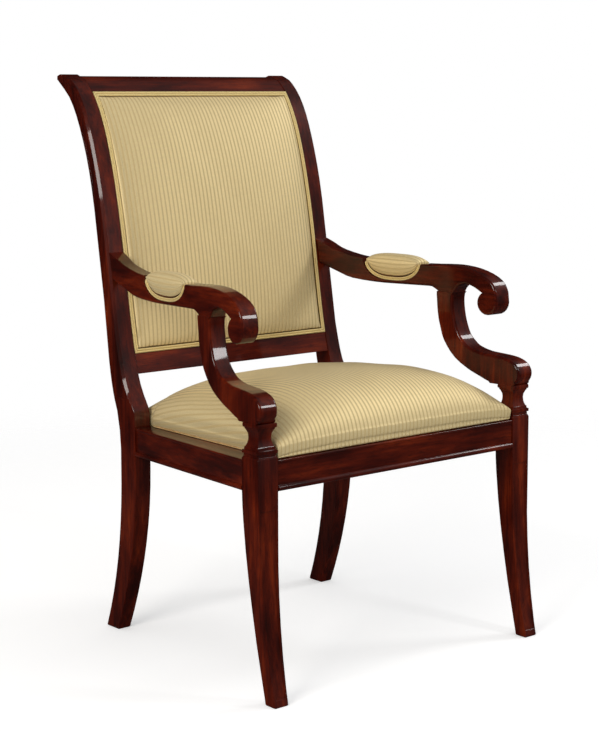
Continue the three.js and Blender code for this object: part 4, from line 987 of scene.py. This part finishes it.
def floor_paint():
    """White to the eye, with the chair's shadow, dim in the lacquer, and pale to all other rays."""
    material, tree, output = empty_material("pale_floor")
    rays = add_node(tree, "ShaderNodeLightPath").outputs
    seen, mirrored = rays["Is Camera Ray"], rays["Is Glossy Ray"]
    tone = add_node(
        tree,
        "ShaderNodeMix",
        {"data_type": "RGBA"},
        {"Factor": seen, 6: linear(FLOOR_PAINT), 7: linear(FLOOR_TO_THE_EYE)},
    )
    tone = add_node(
        tree,
        "ShaderNodeMix",
        {"data_type": "RGBA"},
        {"Factor": mirrored, 6: tone.outputs[2], 7: linear(FLOOR_IN_LACQUER)},
    )
    matte = add_node(tree, "ShaderNodeBsdfDiffuse", inputs={"Color": tone.outputs[2]})
    dimmed = add_node(tree, "ShaderNodeMath", {"operation": "MULTIPLY"}, {0: seen, 1: FLOOR_GLOW})
    glow = add_node(
        tree,
        "ShaderNodeEmission",
        inputs={"Color": linear("#ffffff"), "Strength": dimmed.outputs[0]},
    )
    lit = add_node(
        tree, "ShaderNodeAddShader", inputs={0: matte.outputs[0], 1: glow.outputs[0]}
    )
    place = add_node(tree, "ShaderNodeTexCoord").outputs["Object"]
    distance = add_node(tree, "ShaderNodeVectorMath", {"operation": "LENGTH"}, {0: place})
    fade = add_node(
        tree,
        "ShaderNodeMapRange",
        {"interpolation_type": "SMOOTHSTEP"},
        {"Value": distance.outputs["Value"], "From Min": FADE_START, "From Max": FLOOR_RADIUS},
    )
    clear = add_node(tree, "ShaderNodeBsdfTransparent")
    faded = add_node(
        tree,
        "ShaderNodeMixShader",
        inputs={0: fade.outputs["Result"], 1: lit.outputs[0], 2: clear.outputs[0]},
    )
    tree.links.new(faded.outputs[0], output.inputs["Surface"])
    return material


DOME_LIGHT = 0.59  # light of the studio's pale walls on the chair
DARK_IN_LACQUER, PALE_IN_LACQUER = 0.015, 0.25  # the lacquer mirrors one pale wall and dim others
PALE_WALL = Vector((0.5, -0.5, 0.7)).normalized()  # direction of the pale wall's middle
PALE_WALL_EDGE = 0.45  # cosine of the angle between that direction and where the wall is dim


def studio_walls():
    """A white world to the eye and to glass, soft light on the chair, and in the lacquer a pale
    wall at the right of the camera that dims towards the other walls."""
    world = bpy.data.worlds.new("studio")
    world.use_nodes = True
    tree = world.node_tree
    tree.nodes.clear()
    output = add_node(tree, "ShaderNodeOutputWorld")
    rays = add_node(tree, "ShaderNodeLightPath").outputs
    seen = add_node(
        tree,
        "ShaderNodeMath",
        {"operation": "MAXIMUM"},
        {0: rays["Is Camera Ray"], 1: rays["Is Transmission Ray"]},
    )
    inputs = {"Factor": seen.outputs[0], 2: DOME_LIGHT, 3: 1.0}
    open_air = add_node(tree, "ShaderNodeMix", inputs=inputs)
    towards = add_node(
        tree,
        "ShaderNodeVectorMath",
        {"operation": "DOT_PRODUCT"},
        {0: add_node(tree, "ShaderNodeTexCoord").outputs["Object"], 1: PALE_WALL},
    )
    walls = {"From Min": PALE_WALL_EDGE, "To Min": DARK_IN_LACQUER, "To Max": PALE_IN_LACQUER}
    mirrored = add_node(
        tree,
        "ShaderNodeMapRange",
        {"interpolation_type": "SMOOTHSTEP"},
        {"Value": towards.outputs["Value"], **walls},
    )
    strength = add_node(
        tree,
        "ShaderNodeMix",
        {},
        {"Factor": rays["Is Glossy Ray"], 2: open_air.outputs[0], 3: mirrored.outputs["Result"]},
    )
    inputs = {"Color": linear("#ffffff"), "Strength": strength.outputs[0]}
    shade = add_node(tree, "ShaderNodeBackground", inputs=inputs)
    tree.links.new(shade.outputs[0], output.inputs["Surface"])
    bpy.context.scene.world = world


# Each lamp's name, place, target, width and height, brightness of its face, and tint
LAMPS = (
    ("strip", (0.42, -1.0, 1.05), (-0.28, -0.25, 0.6), (0.13, 0.26), 17, "#ffffff"),
    ("key", (2.87, -0.94, 2.69), (0.28, -0.25, 0.6), (0.86, 0.74), 14, "#ffffff"),
    ("fill", (-2.5, -0.9, 1.8), (0, 0, 0.5), (1.2, 0.8), 12, "#fffaf4"),
)


def softbox(name, place, target, size, radiance, colour):
    """A rectangular lamp at a place, turned to a target: points (x, y, z) in metres. Its power
    follows from how bright its face is. The camera looks past it."""
    lamp = bpy.data.lights.new(name, "AREA")
    lamp.shape = "RECTANGLE"
    lamp.size, lamp.size_y = size
    lamp.energy = radiance * math.pi * size[0] * size[1]
    lamp.color = linear(colour)[:3]
    item = bpy.data.objects.new(name, lamp)
    item.location = place
    item.rotation_mode = "QUATERNION"
    item.rotation_quaternion = (Vector(place) - Vector(target)).to_track_quat("Z", "Y")
    item.visible_camera = False
    bpy.context.scene.collection.objects.link(item)


floor = studio_floor()
floor.data.materials.append(floor_paint())
studio_walls()
for lamp in LAMPS:
    softbox(*lamp)


# The camera stands where the photograph's was, worked out from the outlines of the chair.
CAMERA_AZIMUTH, CAMERA_ELEVATION = math.radians(-40.17), math.radians(10.14)
CAMERA_ROLL = math.radians(0.06)
CAMERA_PLACE = Vector((-1.9723, -2.1037, 0.9651))  # from the middle of the front legs' front faces
FOCAL_PIXELS = 1768.95
PHOTO_WIDTH, PHOTO_HEIGHT = 599, 732
AXIS_PIXEL = (312.02, 404.01)  # where the camera's axis meets the photograph
SENSOR = 36  # mm


def camera():
    """The photograph's camera: its long side spans the sensor, and its axis is shifted."""
    data = bpy.data.cameras.new("camera")
    data.sensor_width = SENSOR
    data.sensor_fit = "AUTO"
    data.lens = FOCAL_PIXELS * SENSOR / PHOTO_HEIGHT
    data.shift_x = (PHOTO_WIDTH / 2 - AXIS_PIXEL[0]) / PHOTO_HEIGHT
    data.shift_y = (AXIS_PIXEL[1] - PHOTO_HEIGHT / 2) / PHOTO_HEIGHT
    item = bpy.data.objects.new("camera", data)
    back = Vector(
        (
            math.sin(CAMERA_AZIMUTH) * math.cos(CAMERA_ELEVATION),
            -math.cos(CAMERA_AZIMUTH) * math.cos(CAMERA_ELEVATION),
            math.sin(CAMERA_ELEVATION),
        )
    )
    right = Vector((0, 0, 1)).cross(back).normalized()
    up = back.cross(right)
    turn = Matrix((right, up, back)).transposed() @ Matrix.Rotation(CAMERA_ROLL, 3, "Z")
    leg_front = Vector((0, LEG_FRONT, 0))
    item.matrix_world = Matrix.Translation(CAMERA_PLACE + leg_front) @ turn.to_4x4()
    bpy.context.scene.collection.objects.link(item)
    bpy.context.scene.camera = item


camera()
bpy.context.scene.view_settings.view_transform = "Standard"
